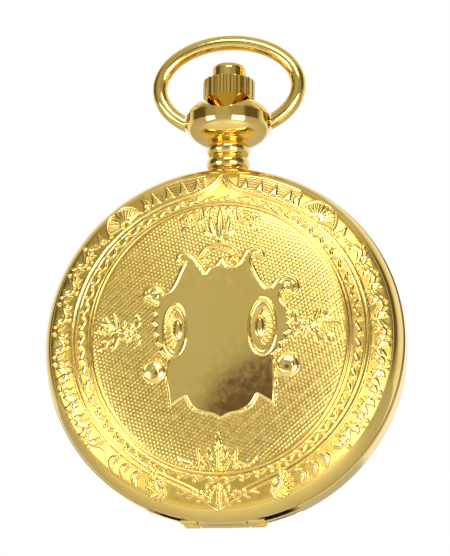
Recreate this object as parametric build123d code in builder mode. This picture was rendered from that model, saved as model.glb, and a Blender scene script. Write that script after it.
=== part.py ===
from build123d import *
import math
import os

# A hunter-cased pocket watch, standing upright: +Z runs to the pendant and twelve o'clock,
# +X to three o'clock, and the dial looks along -Y. The origin is the middle of the flat
# on the back cover. "Depth" below is the distance from that flat toward the dial, so
# depth d is the plane y = -d. A place on the dial plan is given as (x, z).
# All sizes are millimetres.

# ---- Case -------------------------------------------------------------------------
CASE_RADIUS = 23.5
COVER_WALL = 0.6
BACK_SEAM = 3.8                 # depth where the back cover meets the band
FRONT_SEAM = 7.8                # depth where the front cover meets the band
FRONT_APEX = 12.9               # depth of the front cover's highest point
STEM_DEPTH = (BACK_SEAM + FRONT_SEAM) / 2
BACK_FLAT = 7.0                 # radius of the flat that the watch rests on
FRONT_DOME = ((160, 5), (40, 11), (2.51, 74))   # tangent arcs from the axis: radius, turn
BACK_DOME = ((90, 9), (2.63, 81))
LIP_OUTER, LIP_INNER = 22.25, 21.5
LIP_RECESS = 22.4               # the band's bore that the lips drop into

# ---- Cover hinges at six o'clock ----------------------------------------------------
HINGE_Z = -22.8
BARREL_RADIUS = 0.6
FRONT_HINGE_DEPTH = FRONT_SEAM - BARREL_RADIUS - 0.05
BACK_HINGE_DEPTH = BACK_SEAM + BARREL_RADIUS + 0.05
PIN_RADIUS = 0.25
HINGE_BORE = 0.3
HINGE_ROOM = 0.1                # gap between a knuckle and the floor of its cut in the band
COVER_KNUCKLE = 3.1             # the covers' middle knuckle reaches this far each way
CASE_KNUCKLE = (3.3, 5.1)       # the band's knuckles, from and to
HINGE_CHORD = -21.3             # the band is cut flat here, to make room for the knuckles

# ---- Springs in the band -------------------------------------------------------------
CHANNEL = (20.8, 22.3)          # inner and outer radius of the groove that holds them
SPRING_INNER, SPRING_OUTER = 21.3, 21.9

# ---- Pendant, crown and bow ----------------------------------------------------------
BOW_PIVOT_Z = 30.4
BOW_CENTRE_Z = 35.4
BOW_HALF_WIDTH, BOW_HALF_HEIGHT = 9.27, 6.2
BOW_WIRE = 1.0
BOW_END = 5.75                  # the wire is cut off square here
BOW_PEG, BOW_PEG_END = 0.45, 4.6
CROWN_RADIUS = 3.4
CROWN_FLUTES = 24
CROWN_BOTTOM, FLUTE_BOTTOM, CROWN_TOP = 32.0, 33.7, 36.3
BUTTON_RADIUS, BUTTON_TOP = 2.25, 38.4
STEM_RADIUS = 0.6

# ---- Going train: places on the dial plan ---------------------------------------------
def polar(origin, distance, degrees):
    angle = math.radians(degrees)
    return (origin[0] + distance * math.cos(angle), origin[1] + distance * math.sin(angle))


CENTER = (0.0, 0.0)
BARREL = polar(CENTER, 9.0, 135.14)
THIRD = polar(CENTER, 6.75, -52.22)
FOURTH = (0.0, -9.0)
ESCAPE = polar(FOURTH, 4.4, 205)
PALLET = polar(ESCAPE, 3.0, 155)
BALANCE = polar(ESCAPE, 6.5, 155)
CROWN_WHEEL = (0.0, 11.5)
MINUTE_WHEEL = polar(CENTER, 3.0, 60)
SETTING = polar(MINUTE_WHEEL, 4.125, 96.26)
INTERMEDIATE = (0.0, 10.3)

# Modules of the meshing pairs.
BARREL_MODULE, CENTER_MODULE, THIRD_MODULE, FOURTH_MODULE = 0.2, 0.15, 0.13, 0.1
WINDING_MODULE, MOTION_MODULE, HOUR_MODULE = 0.2, 0.125, 0.12
BARREL_TEETH, CENTER_TEETH, THIRD_TEETH, FOURTH_TEETH = 80, 80, 75, 80
PINION_LEAVES, ESCAPE_LEAVES, ESCAPE_TEETH = 10, 8, 15
RATCHET_TEETH, CROWN_WHEEL_TEETH, WINDING_TEETH = 50, 32, 20
CANNON_LEAVES, MINUTE_TEETH, HOUR_TEETH, SETTING_TEETH = 12, 36, 40, 30
ESCAPE_RADIUS = 2.6
BALANCE_RADIUS = 5.0

# Depths of the movement's levels, from and to.
WINDING_LEVEL = (3.9, 4.3)
BRIDGE_LEVEL = (4.35, 5.35)
COCK_LEVEL = (4.35, 5.1)
THIRD_LEVEL = (5.65, 5.85)
FOURTH_LEVEL = (6.25, 6.45)
PALLET_COCK_LEVEL = (6.2, 6.6)
ESCAPE_LEVEL = (6.75, 6.95)
BARREL_TOOTH_LEVEL = (6.7, 7.1)
PLATE_LEVEL = (7.25, 8.55)
CENTER_LEVEL = (7.4, 7.65)
MOTION_LEVEL = (8.35, 8.55)
HOUR_LEVEL = (8.62, 8.8)
DIAL_LEVEL = (8.9, 9.2)
SECOND_LEVEL = (9.26, 9.36)
HOUR_HAND_LEVEL = (9.45, 9.57)
MINUTE_HAND_LEVEL = (9.68, 9.8)
PIVOT_LOW, PIVOT_HIGH = 4.45, 8.2
JEWEL_RADIUS, JEWEL_HOLE = 0.5, 0.52
PIVOT_RADIUS, PIVOT_BORE = 0.1, 0.13
BRIDGE_RADIUS = 16.9
SCREW_SHANK, SCREW_HOLE, SCREW_HEAD = 0.45, 0.5, 0.9

BARREL_SCREWS = ((-15.8, 0.6), (-3.9, 15.3), (9.3, 12.6), (13.5, 4.0))
TRAIN_SCREWS = ((13.8, -5.5), (3.4, -15.3), (-3.2, -15.4))
COCK_FOOT = (-15.2, -3.2)
PALLET_FEET = ((-7.8, -12.6), (-5.6, -6.6))
CLICK = polar(BARREL, 6.9, 200)
CLICK_NOSE = polar(BARREL, 5.45, 176)
SETTING_LEVER = (4.2, 16.0)
YOKE = (4.6, 13.9)
POST_RADIUS, POST_BORE = 0.3, 0.35
CASE_SCREWS = tuple(polar(CENTER, 17.6, degrees) for degrees in (30, 165, 310))


# ---- Shared shapes. Each is called inside a sub-part's BuildPart block ---------------------
def level(depth, at=(0, 0)):
    """The plane at this depth, facing the dial side, centred on a place of the plan."""
    return Plane(origin=(at[0], -depth, at[1]), x_dir=(1, 0, 0), z_dir=(0, -1, 0))


def disc(span, radius, bore=0, at=(0, 0), mode=Mode.ADD):
    """A flat disc or ring between two depths."""
    with BuildSketch(level(span[0], at)) as sketch:
        Circle(radius)
        if bore:
            Circle(bore, mode=Mode.SUBTRACT)
    extrude(sketch.sketch, amount=span[1] - span[0], mode=mode)


def plate(span, points, mode=Mode.ADD):
    """A flat plate with straight edges between two depths."""
    with BuildSketch(level(span[0])) as sketch:
        with BuildLine():
            Polyline(*points, close=True)
        make_face()
    extrude(sketch.sketch, amount=span[1] - span[0], mode=mode)


def block(span, x_range, z_range, mode=Mode.ADD):
    """A box given by its depths and its place on the plan."""
    left, right = x_range
    low, high = z_range
    plate(span, ((left, low), (right, low), (right, high), (left, high)), mode)


def strip(span, start, end, width, mode=Mode.ADD):
    """A flat bar with round ends between two places of the plan."""
    middle = ((start[0] + end[0]) / 2, (start[1] + end[1]) / 2)
    length = math.dist(start, end)
    angle = math.degrees(math.atan2(end[1] - start[1], end[0] - start[0]))
    with BuildSketch(level(span[0], middle)) as sketch:
        SlotCenterToCenter(length, width, rotation=angle)
    extrude(sketch.sketch, amount=span[1] - span[0], mode=mode)


def lathe(points, mode=Mode.ADD):
    """A ring turned about the watch's axis. Points are (radius, depth)."""
    with BuildSketch(Plane.XY) as sketch:
        with BuildLine():
            Polyline(*[(radius, -depth) for radius, depth in points], close=True)
        make_face()
    revolve(sketch.sketch, axis=Axis.Y, mode=mode)


def turn_on_stem(points, mode=Mode.ADD):
    """A piece turned about the winding stem's axis. Points are (radius, z)."""
    with BuildSketch(level(STEM_DEPTH)) as sketch:
        with BuildLine():
            Polyline(*points, close=True)
        make_face()
    revolve(sketch.sketch, axis=Axis((0, -STEM_DEPTH, 0), (0, 0, 1)), mode=mode)


def rod_along_x(radius, x_range, depth, z, mode=Mode.ADD):
    """A round rod parallel to the hinges."""
    with BuildSketch(Plane(origin=(x_range[0], -depth, z), x_dir=(0, 1, 0), z_dir=(1, 0, 0))) as sketch:
        Circle(radius)
    extrude(sketch.sketch, amount=x_range[1] - x_range[0], mode=mode)


def arc_strip(span, radii, angles, mode=Mode.ADD):
    """A curved flat bar about the watch's axis, between two angles of the plan."""
    inner, outer = radii
    first, last = angles
    with BuildSketch(level(span[0])) as sketch:
        with BuildLine():
            far = CenterArc((0, 0), outer, first, last - first)
            near = CenterArc((0, 0), inner, first, last - first)
            Line(far @ 0, near @ 0)
            Line(far @ 1, near @ 1)
        make_face()
    extrude(sketch.sketch, amount=span[1] - span[0], mode=mode)


def spiral(span, inner, outer, turns, width, at):
    """A flat coiled spring between two depths."""
    steps = 20 * turns
    edges = ([], [])
    for step in range(steps + 1):
        radius = inner + (outer - inner) * step / steps
        angle = 360 * turns * step / steps
        edges[0].append(polar(at, radius, angle))
        edges[1].append(polar(at, radius + width, angle))
    plate(span, edges[0] + edges[1][::-1])


# Teeth are trapezia. Heights are in modules, widths in parts of the tooth's own pitch.
ADDENDUM, DEDENDUM = 0.6, 0.85
TIP_HALF, ROOT_HALF = 0.10, 0.29


def gear(span, teeth, module, at, phase=0.0, bore=0):
    """A spur wheel or pinion. The phase, in degrees, is where the first tooth points."""
    pitch_radius = teeth * module / 2
    tip = pitch_radius + ADDENDUM * module
    root = pitch_radius - DEDENDUM * module
    pitch = 360 / teeth
    points = []
    for tooth in range(teeth):
        middle = phase + tooth * pitch
        points.append(polar(at, root, middle - ROOT_HALF * pitch))
        points.append(polar(at, tip, middle - TIP_HALF * pitch))
        points.append(polar(at, tip, middle + TIP_HALF * pitch))
        points.append(polar(at, root, middle + ROOT_HALF * pitch))
    plate(span, points)
    if bore:
        disc(span, bore, at=at, mode=Mode.SUBTRACT)


def crossings(span, hub, rim, arm, count, at):
    """Cuts a wheel's web away between a hub and a rim, and leaves straight arms."""
    with BuildSketch(level(span[0], at)) as gaps:
        Circle(rim)
        Circle(hub, mode=Mode.SUBTRACT)
        with PolarLocations(0, count):
            Rectangle(rim * 1.1, arm, align=(Align.MIN, Align.CENTER), mode=Mode.SUBTRACT)
    extrude(gaps.sketch, amount=span[1] - span[0], mode=Mode.SUBTRACT)


def meshed_phase(driver_phase, driver_teeth, driver_at, driven_teeth, driven_at):
    """The phase that puts a gap of the driven wheel on the driver's tooth, in degrees."""
    line = math.degrees(math.atan2(driven_at[1] - driver_at[1], driven_at[0] - driver_at[0]))
    behind = (line - driver_phase) * driver_teeth / 360
    return line + 180 - (360 / driven_teeth) * (0.5 - behind)


# Every train's phases follow from one wheel, so that teeth meet gaps at rest.
CENTER_PINION_PHASE = 0.0
BARREL_PHASE = meshed_phase(CENTER_PINION_PHASE, PINION_LEAVES, CENTER, BARREL_TEETH, BARREL)
THIRD_PINION_PHASE = meshed_phase(0.0, CENTER_TEETH, CENTER, PINION_LEAVES, THIRD)
FOURTH_PINION_PHASE = meshed_phase(0.0, THIRD_TEETH, THIRD, PINION_LEAVES, FOURTH)
ESCAPE_PINION_PHASE = meshed_phase(0.0, FOURTH_TEETH, FOURTH, ESCAPE_LEAVES, ESCAPE)
MINUTE_PHASE = meshed_phase(0.0, CANNON_LEAVES, CENTER, MINUTE_TEETH, MINUTE_WHEEL)
HOUR_PHASE = meshed_phase(0.0, PINION_LEAVES, MINUTE_WHEEL, HOUR_TEETH, CENTER)
SETTING_PHASE = meshed_phase(MINUTE_PHASE, MINUTE_TEETH, MINUTE_WHEEL, SETTING_TEETH, SETTING)
INTERMEDIATE_PHASE = meshed_phase(SETTING_PHASE, SETTING_TEETH, SETTING, SETTING_TEETH, INTERMEDIATE)
RATCHET_PHASE = meshed_phase(0.0, CROWN_WHEEL_TEETH, CROWN_WHEEL, RATCHET_TEETH, BARREL)


# ---- Cover shells -----------------------------------------------------------------------
def tangent_arcs(start, dome, side, wall=0.0):
    """Arcs that run on from each other, from a dome's middle to its rim. Returns the rim end."""
    end, direction = start, (1, 0)
    for radius, turn in dome:
        arc = JernArc(end, direction, radius - wall, side * turn)
        end, direction = arc @ 1, arc % 1
    return end


def cover_shell(apex, flat, dome, seam, side):
    """A pressed cover: a domed shell with a straight wall down to the seam."""
    with BuildSketch(Plane.XY) as section:
        with BuildLine():
            outer_top = (flat, -apex)
            inner_top = (flat, side * COVER_WALL - apex)
            outer = tangent_arcs(outer_top, dome, side)
            inner = tangent_arcs(inner_top, dome, side, COVER_WALL)
            Polyline(outer, (outer.X, -seam), (inner.X, -seam), inner)
            middle = Line((0, outer_top[1]), (0, inner_top[1]))
            if flat:
                Line(middle @ 0, outer_top)
                Line(middle @ 1, inner_top)
        make_face()
    revolve(section.sketch, axis=Axis.Y)


def cover_lip(seam, side):
    """The stepped ring inside a cover's wall that drops into the band."""
    steps = ((22.8, 0.6), (22.8, 0.05), (LIP_OUTER, 0.05), (LIP_OUTER, -0.4), (LIP_INNER, -0.4), (LIP_INNER, 0.6))
    lathe([(radius, seam + side * height) for radius, height in steps])


def cover_knuckle(seam, hinge_depth, side):
    """The middle knuckle, its tab, and room for the band's knuckles and the pin."""
    far = (seam + side * 0.1, hinge_depth - side * (BARREL_RADIUS + 0.5))
    for sign in (-1, 1):
        ends = sorted((sign * (CASE_KNUCKLE[0] - 0.1), sign * (CASE_KNUCKLE[1] + 0.5)))
        block(sorted(far), ends, (-24.5, -22.0), Mode.SUBTRACT)
    tab = sorted((hinge_depth, seam + side * 0.5))
    block(tab, (-COVER_KNUCKLE, COVER_KNUCKLE), (HINGE_Z - 0.3, HINGE_Z + 0.5))
    rod_along_x(BARREL_RADIUS, (-COVER_KNUCKLE, COVER_KNUCKLE), hinge_depth, HINGE_Z)
    rod_along_x(HINGE_BORE, (-CASE_RADIUS, CASE_RADIUS), hinge_depth, HINGE_Z, Mode.SUBTRACT)


with BuildPart() as front_cover:
    cover_lip(FRONT_SEAM, 1)
    block((FRONT_SEAM - 1, FRONT_SEAM + 0.6), (-12, 12), (-24, -15), Mode.SUBTRACT)
    block((FRONT_SEAM - 1, FRONT_SEAM + 0.6), (-1.8, 1.8), (20, 22.6), Mode.SUBTRACT)
    cover_shell(FRONT_APEX, 0.0, FRONT_DOME, FRONT_SEAM, 1)
    cover_knuckle(FRONT_SEAM, FRONT_HINGE_DEPTH, 1)
front_cover.part.label = "front_cover"

with BuildPart() as back_cover:
    cover_lip(BACK_SEAM, -1)
    block((BACK_SEAM - 0.6, BACK_SEAM + 1), (-12, 12), (-24, -15), Mode.SUBTRACT)
    cover_shell(0.0, BACK_FLAT, BACK_DOME, BACK_SEAM, -1)
    cover_knuckle(BACK_SEAM, BACK_HINGE_DEPTH, -1)
back_cover.part.label = "back_cover"


# ---- Band, bezels and glasses --------------------------------------------------------------
def hinge_cut(seam, hinge_depth, side):
    """Cuts the band flat beside a cover's seam, deep enough for the knuckles."""
    floor = hinge_depth - side * (BARREL_RADIUS + HINGE_ROOM)
    block(sorted((seam, floor)), (-12, 12), (-24, HINGE_CHORD), Mode.SUBTRACT)


def band_knuckles(hinge_depth):
    """The two outer knuckles of a hinge, each on a web that roots in the band."""
    web = (hinge_depth - 0.4, hinge_depth + 0.4)
    for sign in (-1, 1):
        ends = sorted((sign * CASE_KNUCKLE[0], sign * CASE_KNUCKLE[1]))
        block(web, ends, (HINGE_Z, HINGE_CHORD + 0.1))
        rod_along_x(BARREL_RADIUS, ends, hinge_depth, HINGE_Z)


with BuildPart() as case_middle:
    lathe(((23.35, 3.8), (23.5, 3.95), (23.5, 7.65), (23.35, 7.8), (LIP_RECESS, 7.8), (LIP_RECESS, 7.3),
           (19.1, 7.3), (19.1, 7.0), (18.4, 7.0), (18.4, 4.3), (LIP_RECESS, 4.3), (LIP_RECESS, 3.8)))
    arc_strip((4.9, 7.3), CHANNEL, (48, 132), Mode.SUBTRACT)
    arc_strip((4.9, 7.3), CHANNEL, (-64, -25), Mode.SUBTRACT)
    for seam, hinge_depth, side in ((FRONT_SEAM, FRONT_HINGE_DEPTH, 1), (BACK_SEAM, BACK_HINGE_DEPTH, -1)):
        hinge_cut(seam, hinge_depth, side)
        band_knuckles(hinge_depth)
        rod_along_x(HINGE_BORE, (-CASE_RADIUS, CASE_RADIUS), hinge_depth, HINGE_Z, Mode.SUBTRACT)
    turn_on_stem(((0, 18), (1.0, 18), (1.0, 24), (0, 24)), Mode.SUBTRACT)
case_middle.part.label = "case_middle"


def hinge_pin(depth):
    """A pin with a low head at each end."""
    ends = (-CASE_KNUCKLE[1] - 0.05, CASE_KNUCKLE[1] + 0.05)
    rod_along_x(PIN_RADIUS, ends, depth, HINGE_Z)
    rod_along_x(0.45, (ends[0] - 0.25, ends[0]), depth, HINGE_Z)
    rod_along_x(0.45, (ends[1], ends[1] + 0.25), depth, HINGE_Z)


with BuildPart() as hinge_pins:
    hinge_pin(FRONT_HINGE_DEPTH)
    hinge_pin(BACK_HINGE_DEPTH)
hinge_pins.part.label = "hinge_pins"

with BuildPart() as bezel:
    lathe(((21.0, 7.35), (21.0, 8.9), (20.1, 10.1), (19.5, 10.4), (19.5, 9.95), (18.5, 9.95), (18.5, 9.25),
           (19.1, 9.25), (19.1, 7.35)))
bezel.part.label = "bezel"

with BuildPart() as crystal:
    with BuildSketch(Plane.XY) as crystal_section:
        with BuildLine():
            rim = tangent_arcs((0, -10.9), ((315.5, 3.535),), 1)
            Polyline(rim, (rim.X, -9.95), (0, -10.3), (0, -10.9))
        make_face()
    revolve(crystal_section.sketch, axis=Axis.Y)
crystal.part.label = "crystal"

with BuildPart() as cuvette_ring:
    lathe(((21.0, 4.25), (21.0, 3.6), (19.8, 2.5), (17.2, 2.4), (17.2, 2.6), (17.65, 2.6), (17.65, 3.45),
           (19.2, 3.5), (20.0, 4.25)))
cuvette_ring.part.label = "cuvette_ring"

with BuildPart() as cuvette_glass:
    disc((2.62, 3.4), 17.6)
cuvette_glass.part.label = "cuvette_glass"

with BuildPart() as latch_spring:
    arc_strip((5.0, 7.2), (SPRING_INNER, SPRING_OUTER), (52, 128))
    block((4.9, 6.7), (-0.9, 0.9), (20.5, 22.5), Mode.SUBTRACT)
    block((6.9, 8.1), (-1.4, 1.4), (21.5, 22.25))
latch_spring.part.label = "latch_spring"

with BuildPart() as lift_spring:
    arc_strip((5.0, 7.2), (SPRING_INNER, SPRING_OUTER), (-62, -28))
lift_spring.part.label = "lift_spring"


# ---- Pendant, bow, crown and button ------------------------------------------------------------
# The pendant's section stands on a slanting plane, so that the turned surface's seam misses its holes.
PENDANT_PLANE = Plane(origin=(0, -STEM_DEPTH, 0), x_dir=(0.6, 0.8, 0), z_dir=(0.8, -0.6, 0))

with BuildPart() as pendant:
    with BuildSketch(PENDANT_PLANE) as pendant_section:
        with BuildLine():
            Line((1.0, 22.8), (2.4, 22.8))
            Line((2.4, 22.8), (2.4, 23.7))
            ThreePointArc((2.4, 23.7), (2.85, 24.6), (2.4, 25.6))
            ThreePointArc((2.4, 25.6), (2.85, 26.5), (2.5, 27.4))
            Line((2.5, 27.4), (2.85, 27.5))
            ThreePointArc((2.85, 27.5), (4.75, 28.35), (5.6, 29.9))
            Line((5.6, 29.9), (5.6, 31.2))
            ThreePointArc((5.6, 31.2), (4.9, 32.4), (3.5, 33.0))
            Line((3.5, 33.0), (1.0, 33.0))
            Line((1.0, 33.0), (1.0, 22.8))
        make_face()
    revolve(pendant_section.sketch, axis=Axis((0, -STEM_DEPTH, 0), (0, 0, 1)))
    # A saddle for the crown to sit in, and a foot that follows the band.
    with BuildSketch(level(-4, (0, 35.1))) as saddle:
        Circle(4.0)
    extrude(saddle.sketch, amount=20, mode=Mode.SUBTRACT)
    disc((0, 12), CASE_RADIUS, mode=Mode.SUBTRACT)
    for bow_side in ((-6, -4.5), (4.5, 6)):
        rod_along_x(0.5, bow_side, STEM_DEPTH, BOW_PIVOT_Z, Mode.SUBTRACT)
pendant.part.label = "pendant"

with BuildPart() as stem_sleeve:
    turn_on_stem(((0.65, 23.6), (0.98, 23.6), (0.98, 30.9), (0.65, 30.9)))
stem_sleeve.part.label = "stem_sleeve"

with BuildPart() as bow:
    with BuildLine(level(STEM_DEPTH, (0, BOW_CENTRE_Z))) as bow_path:
        EllipticalCenterArc((0, 0), BOW_HALF_WIDTH, BOW_HALF_HEIGHT, -60, arc_size=300)
    with BuildSketch(bow_path.line ^ 0):
        Circle(BOW_WIRE)
    sweep(path=bow_path.line)
    block((0, 12), (-BOW_END, BOW_END), (BOW_CENTRE_Z - 8, BOW_CENTRE_Z), Mode.SUBTRACT)
    for peg_ends in ((-BOW_END - 0.8, -BOW_PEG_END), (BOW_PEG_END, BOW_END + 0.8)):
        rod_along_x(BOW_PEG, peg_ends, STEM_DEPTH, BOW_PIVOT_Z)
bow.part.label = "bow"

with BuildPart() as crown:
    turn_on_stem(((0.6, CROWN_BOTTOM), (1.8, CROWN_BOTTOM), (CROWN_RADIUS, FLUTE_BOTTOM),
                  (CROWN_RADIUS, CROWN_TOP - 0.2), (CROWN_RADIUS - 0.2, CROWN_TOP), (2.35, CROWN_TOP),
                  (2.35, 35.2), (0.85, 35.2), (0.85, 33.1), (0.6, 33.1)))
    crown_top_plane = Plane(origin=(0, -STEM_DEPTH, FLUTE_BOTTOM), z_dir=(0, 0, 1))
    with BuildSketch(crown_top_plane) as flutes:
        with PolarLocations(CROWN_RADIUS + 0.12, CROWN_FLUTES):
            Circle(0.33)
    extrude(flutes.sketch, amount=CROWN_TOP - FLUTE_BOTTOM, mode=Mode.SUBTRACT)
crown.part.label = "crown"

with BuildPart() as winding_stem:
    turn_on_stem(((0, 12.2), (0.3, 12.2), (STEM_RADIUS, 12.5), (STEM_RADIUS, 15.6), (0.35, 15.6),
                  (0.35, 16.4), (STEM_RADIUS, 16.4), (STEM_RADIUS, 33.1), (0, 33.1)))
winding_stem.part.label = "winding_stem"

with BuildPart() as release_button:
    turn_on_stem(((0, 34.0), (0.8, 34.0), (0.8, 36.05), (BUTTON_RADIUS, 36.05), (BUTTON_RADIUS, BUTTON_TOP),
                  (0, BUTTON_TOP)))
    fillet(edges().filter_by(GeomType.CIRCLE).group_by(Axis.Z)[-1], 0.8)
release_button.part.label = "release_button"


# ---- Plate, bridges and cocks --------------------------------------------------------------------
def jewel_seat(span, at):
    """A hole right through, for a jewel that is pressed in."""
    disc(span, JEWEL_HOLE, at=at, mode=Mode.SUBTRACT)


with BuildPart() as main_plate:
    disc(PLATE_LEVEL, 18.3)
    disc((7.0, 8.9), 18.9, 18.0)
    disc((7.2, 7.75), 6.3, at=CENTER, mode=Mode.SUBTRACT)
    disc((7.2, 7.75), 1.1, at=THIRD, mode=Mode.SUBTRACT)
    disc((8.3, 8.6), 5.6, at=(0, 2), mode=Mode.SUBTRACT)
    disc((8.3, 8.6), 2.2, at=SETTING, mode=Mode.SUBTRACT)
    disc((8.3, 8.6), 2.2, at=INTERMEDIATE, mode=Mode.SUBTRACT)
    # Room for the winding pinions, and the keyless levers' recess with its two slots.
    block((7.2, 7.55), (-1.7, 1.7), (12.3, 15.4), Mode.SUBTRACT)
    block((8.0, 8.6), (-1.0, 5.6), (12.6, 16.9), Mode.SUBTRACT)
    block((8.0, 8.6), (-1.0, 2.5), (16.8, 17.6), Mode.SUBTRACT)
    block((7.2, 8.1), (-0.5, 0.8), (12.7, 14.2), Mode.SUBTRACT)
    block((7.2, 8.1), (-0.5, 0.8), (15.5, 17.5), Mode.SUBTRACT)
    disc((7.0, 9.0), 0.4, at=CENTER, mode=Mode.SUBTRACT)
    for arbor in (THIRD, FOURTH, ESCAPE, PALLET, BALANCE):
        jewel_seat((7.0, 9.0), arbor)
    for screw in BARREL_SCREWS + TRAIN_SCREWS + CASE_SCREWS + (COCK_FOOT,):
        disc((7.0, 7.8), SCREW_HOLE, at=screw, mode=Mode.SUBTRACT)
    for screw in PALLET_FEET:
        disc((7.0, 7.8), 0.3, at=screw, mode=Mode.SUBTRACT)
    disc((7.2, 8.25), 0.55, at=BARREL, mode=Mode.SUBTRACT)
    for post in (MINUTE_WHEEL, SETTING, INTERMEDIATE):
        disc((8.2, 8.75), POST_RADIUS, at=post)
    for post in (SETTING_LEVER, YOKE):
        disc((7.9, 8.5), POST_RADIUS, at=post)
main_plate.part.label = "main_plate"


def bridge(outline, screws):
    """A bridge cut from the movement's round, on one pillar under each of its screws."""
    plate(BRIDGE_LEVEL, outline)
    disc(BRIDGE_LEVEL, BRIDGE_RADIUS, mode=Mode.INTERSECT)
    for screw in screws:
        disc((BRIDGE_LEVEL[0], PLATE_LEVEL[0]), 1.0, at=screw)
    for screw in screws:
        disc((BRIDGE_LEVEL[0] - 1, PLATE_LEVEL[0] + 1), SCREW_HOLE, at=screw, mode=Mode.SUBTRACT)


with BuildPart() as barrel_bridge:
    bridge(((-17, -0.9), (-7.5, -0.9), (-5.5, -1.3), (17, -1.3), (17, 17), (-17, 17)), BARREL_SCREWS)
    block(BRIDGE_LEVEL, (-1.8, 1.8), (12.45, 15.6), Mode.SUBTRACT)
    block((5.1, 5.4), (-0.8, 0.8), (11.5, 17.5), Mode.SUBTRACT)
    disc((4.3, 5.4), 0.75, at=BARREL, mode=Mode.SUBTRACT)
    disc((4.3, 5.05), 0.6, at=CROWN_WHEEL, mode=Mode.SUBTRACT)
    disc((4.3, 5.4), POST_BORE, at=CLICK, mode=Mode.SUBTRACT)
    jewel_seat((4.3, 5.4), CENTER)
barrel_bridge.part.label = "barrel_bridge"

with BuildPart() as train_bridge:
    bridge(((17, -1.6), (2.0, -1.6), (-1.2, -3.2), (-2.6, -6.2), (-4.6, -9.4), (-5.4, -11.6), (-4.9, -13.2),
            (-5.2, -17), (17, -17)), TRAIN_SCREWS)
    for arbor in (THIRD, FOURTH, ESCAPE):
        jewel_seat((4.3, 5.4), arbor)
train_bridge.part.label = "train_bridge"

with BuildPart() as balance_cock:
    strip(COCK_LEVEL, COCK_FOOT, BALANCE, 3.0)
    disc((COCK_LEVEL[0], PLATE_LEVEL[0]), 1.3, at=COCK_FOOT)
    disc((4.0, 7.5), SCREW_HOLE, at=COCK_FOOT, mode=Mode.SUBTRACT)
    jewel_seat((4.0, 5.4), BALANCE)
balance_cock.part.label = "balance_cock"

with BuildPart() as pallet_cock:
    strip(PALLET_COCK_LEVEL, PALLET_FEET[0], PALLET_FEET[1], 2.0)
    for foot in PALLET_FEET:
        disc((PALLET_COCK_LEVEL[0], PLATE_LEVEL[0]), 0.9, at=foot)
    for foot in PALLET_FEET:
        disc((6.0, 7.4), 0.3, at=foot, mode=Mode.SUBTRACT)
    disc((6.0, 6.7), PIVOT_BORE, at=PALLET, mode=Mode.SUBTRACT)
pallet_cock.part.label = "pallet_cock"

with BuildPart() as regulator:
    disc((4.1, 4.3), 1.6, 0.9, BALANCE)
    strip((4.1, 4.3), polar(BALANCE, 1.4, 60), polar(BALANCE, 4.6, 60), 0.35)
regulator.part.label = "regulator"


def screw(head_depth, end_depth, head_radius, shank_radius, head_height, at):
    """A cheese-head screw with a slot, its head toward the back cover."""
    shoulder = head_depth + head_height
    disc((head_depth, shoulder), head_radius, at=at)
    disc((shoulder, end_depth), shank_radius, at=at)
    x, z = at
    block((head_depth, head_depth + 0.12), (x - head_radius, x + head_radius), (z - 0.1, z + 0.1), Mode.SUBTRACT)


with BuildPart() as movement_screws:
    for place in BARREL_SCREWS + TRAIN_SCREWS + (COCK_FOOT,):
        screw(4.0, 7.7, SCREW_HEAD, SCREW_SHANK, 0.35, place)
    for place in PALLET_FEET:
        screw(6.0, 7.7, 0.5, 0.25, 0.2, place)
    for place in CASE_SCREWS:
        screw(3.93, 7.7, 1.2, SCREW_SHANK, 0.35, place)
movement_screws.part.label = "movement_screws"


def jewel(span, at, bore=PIVOT_BORE):
    """A ring of ruby that a pivot runs in."""
    disc(span, JEWEL_RADIUS, bore, at)


with BuildPart() as jewels:
    jewel((4.4, 4.8), CENTER, 0.2)
    for place in (THIRD, FOURTH, ESCAPE, BALANCE):
        jewel((4.4, 4.8), place)
    for place in (THIRD, ESCAPE, PALLET, BALANCE):
        jewel((7.95, 8.35), place)
    jewel((7.95, 8.35), FOURTH, 0.22)
jewels.part.label = "jewels"


# ---- Winding and setting work ------------------------------------------------------------------------
STEM_BORE = STEM_RADIUS + 0.02


def stem_notches(radius, size, count, z_range):
    """Cuts tooth gaps along the rim of a pinion on the stem."""
    with BuildSketch(Plane(origin=(0, -STEM_DEPTH, z_range[0]), z_dir=(0, 0, 1))) as notches:
        with PolarLocations(radius, count):
            Circle(size)
    extrude(notches.sketch, amount=z_range[1] - z_range[0], mode=Mode.SUBTRACT)


with BuildPart() as winding_pinion:
    turn_on_stem(((STEM_BORE, 14.3), (1.45, 14.3), (1.45, 15.1), (STEM_BORE, 15.1)))
    stem_notches(1.45, 0.13, WINDING_TEETH, (14.3, 15.1))
winding_pinion.part.label = "winding_pinion"

with BuildPart() as sliding_pinion:
    turn_on_stem(((STEM_BORE, 13.25), (1.35, 13.25), (1.35, 13.5), (0.9, 13.5), (0.9, 14.0), (1.35, 14.0),
                  (1.35, 14.2), (STEM_BORE, 14.2)))
    stem_notches(1.35, 0.13, WINDING_TEETH, (13.2, 13.5))
sliding_pinion.part.label = "sliding_pinion"

with BuildPart() as setting_lever:
    strip((8.1, 8.5), SETTING_LEVER, (0.3, 16.0), 0.9)
    disc((8.1, 8.5), 0.75, at=SETTING_LEVER)
    disc((6.2, 8.1), 0.2, at=(0.1, 16.0))
    disc((8.1, 8.5), POST_BORE, at=SETTING_LEVER, mode=Mode.SUBTRACT)
setting_lever.part.label = "setting_lever"

with BuildPart() as yoke:
    strip((8.1, 8.5), YOKE, (0.2, 13.75), 0.6)
    disc((8.1, 8.5), 0.6, at=YOKE)
    disc((6.8, 8.1), 0.15, at=(0.0, 13.75))
    disc((8.1, 8.5), POST_BORE, at=YOKE, mode=Mode.SUBTRACT)
yoke.part.label = "yoke"

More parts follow.
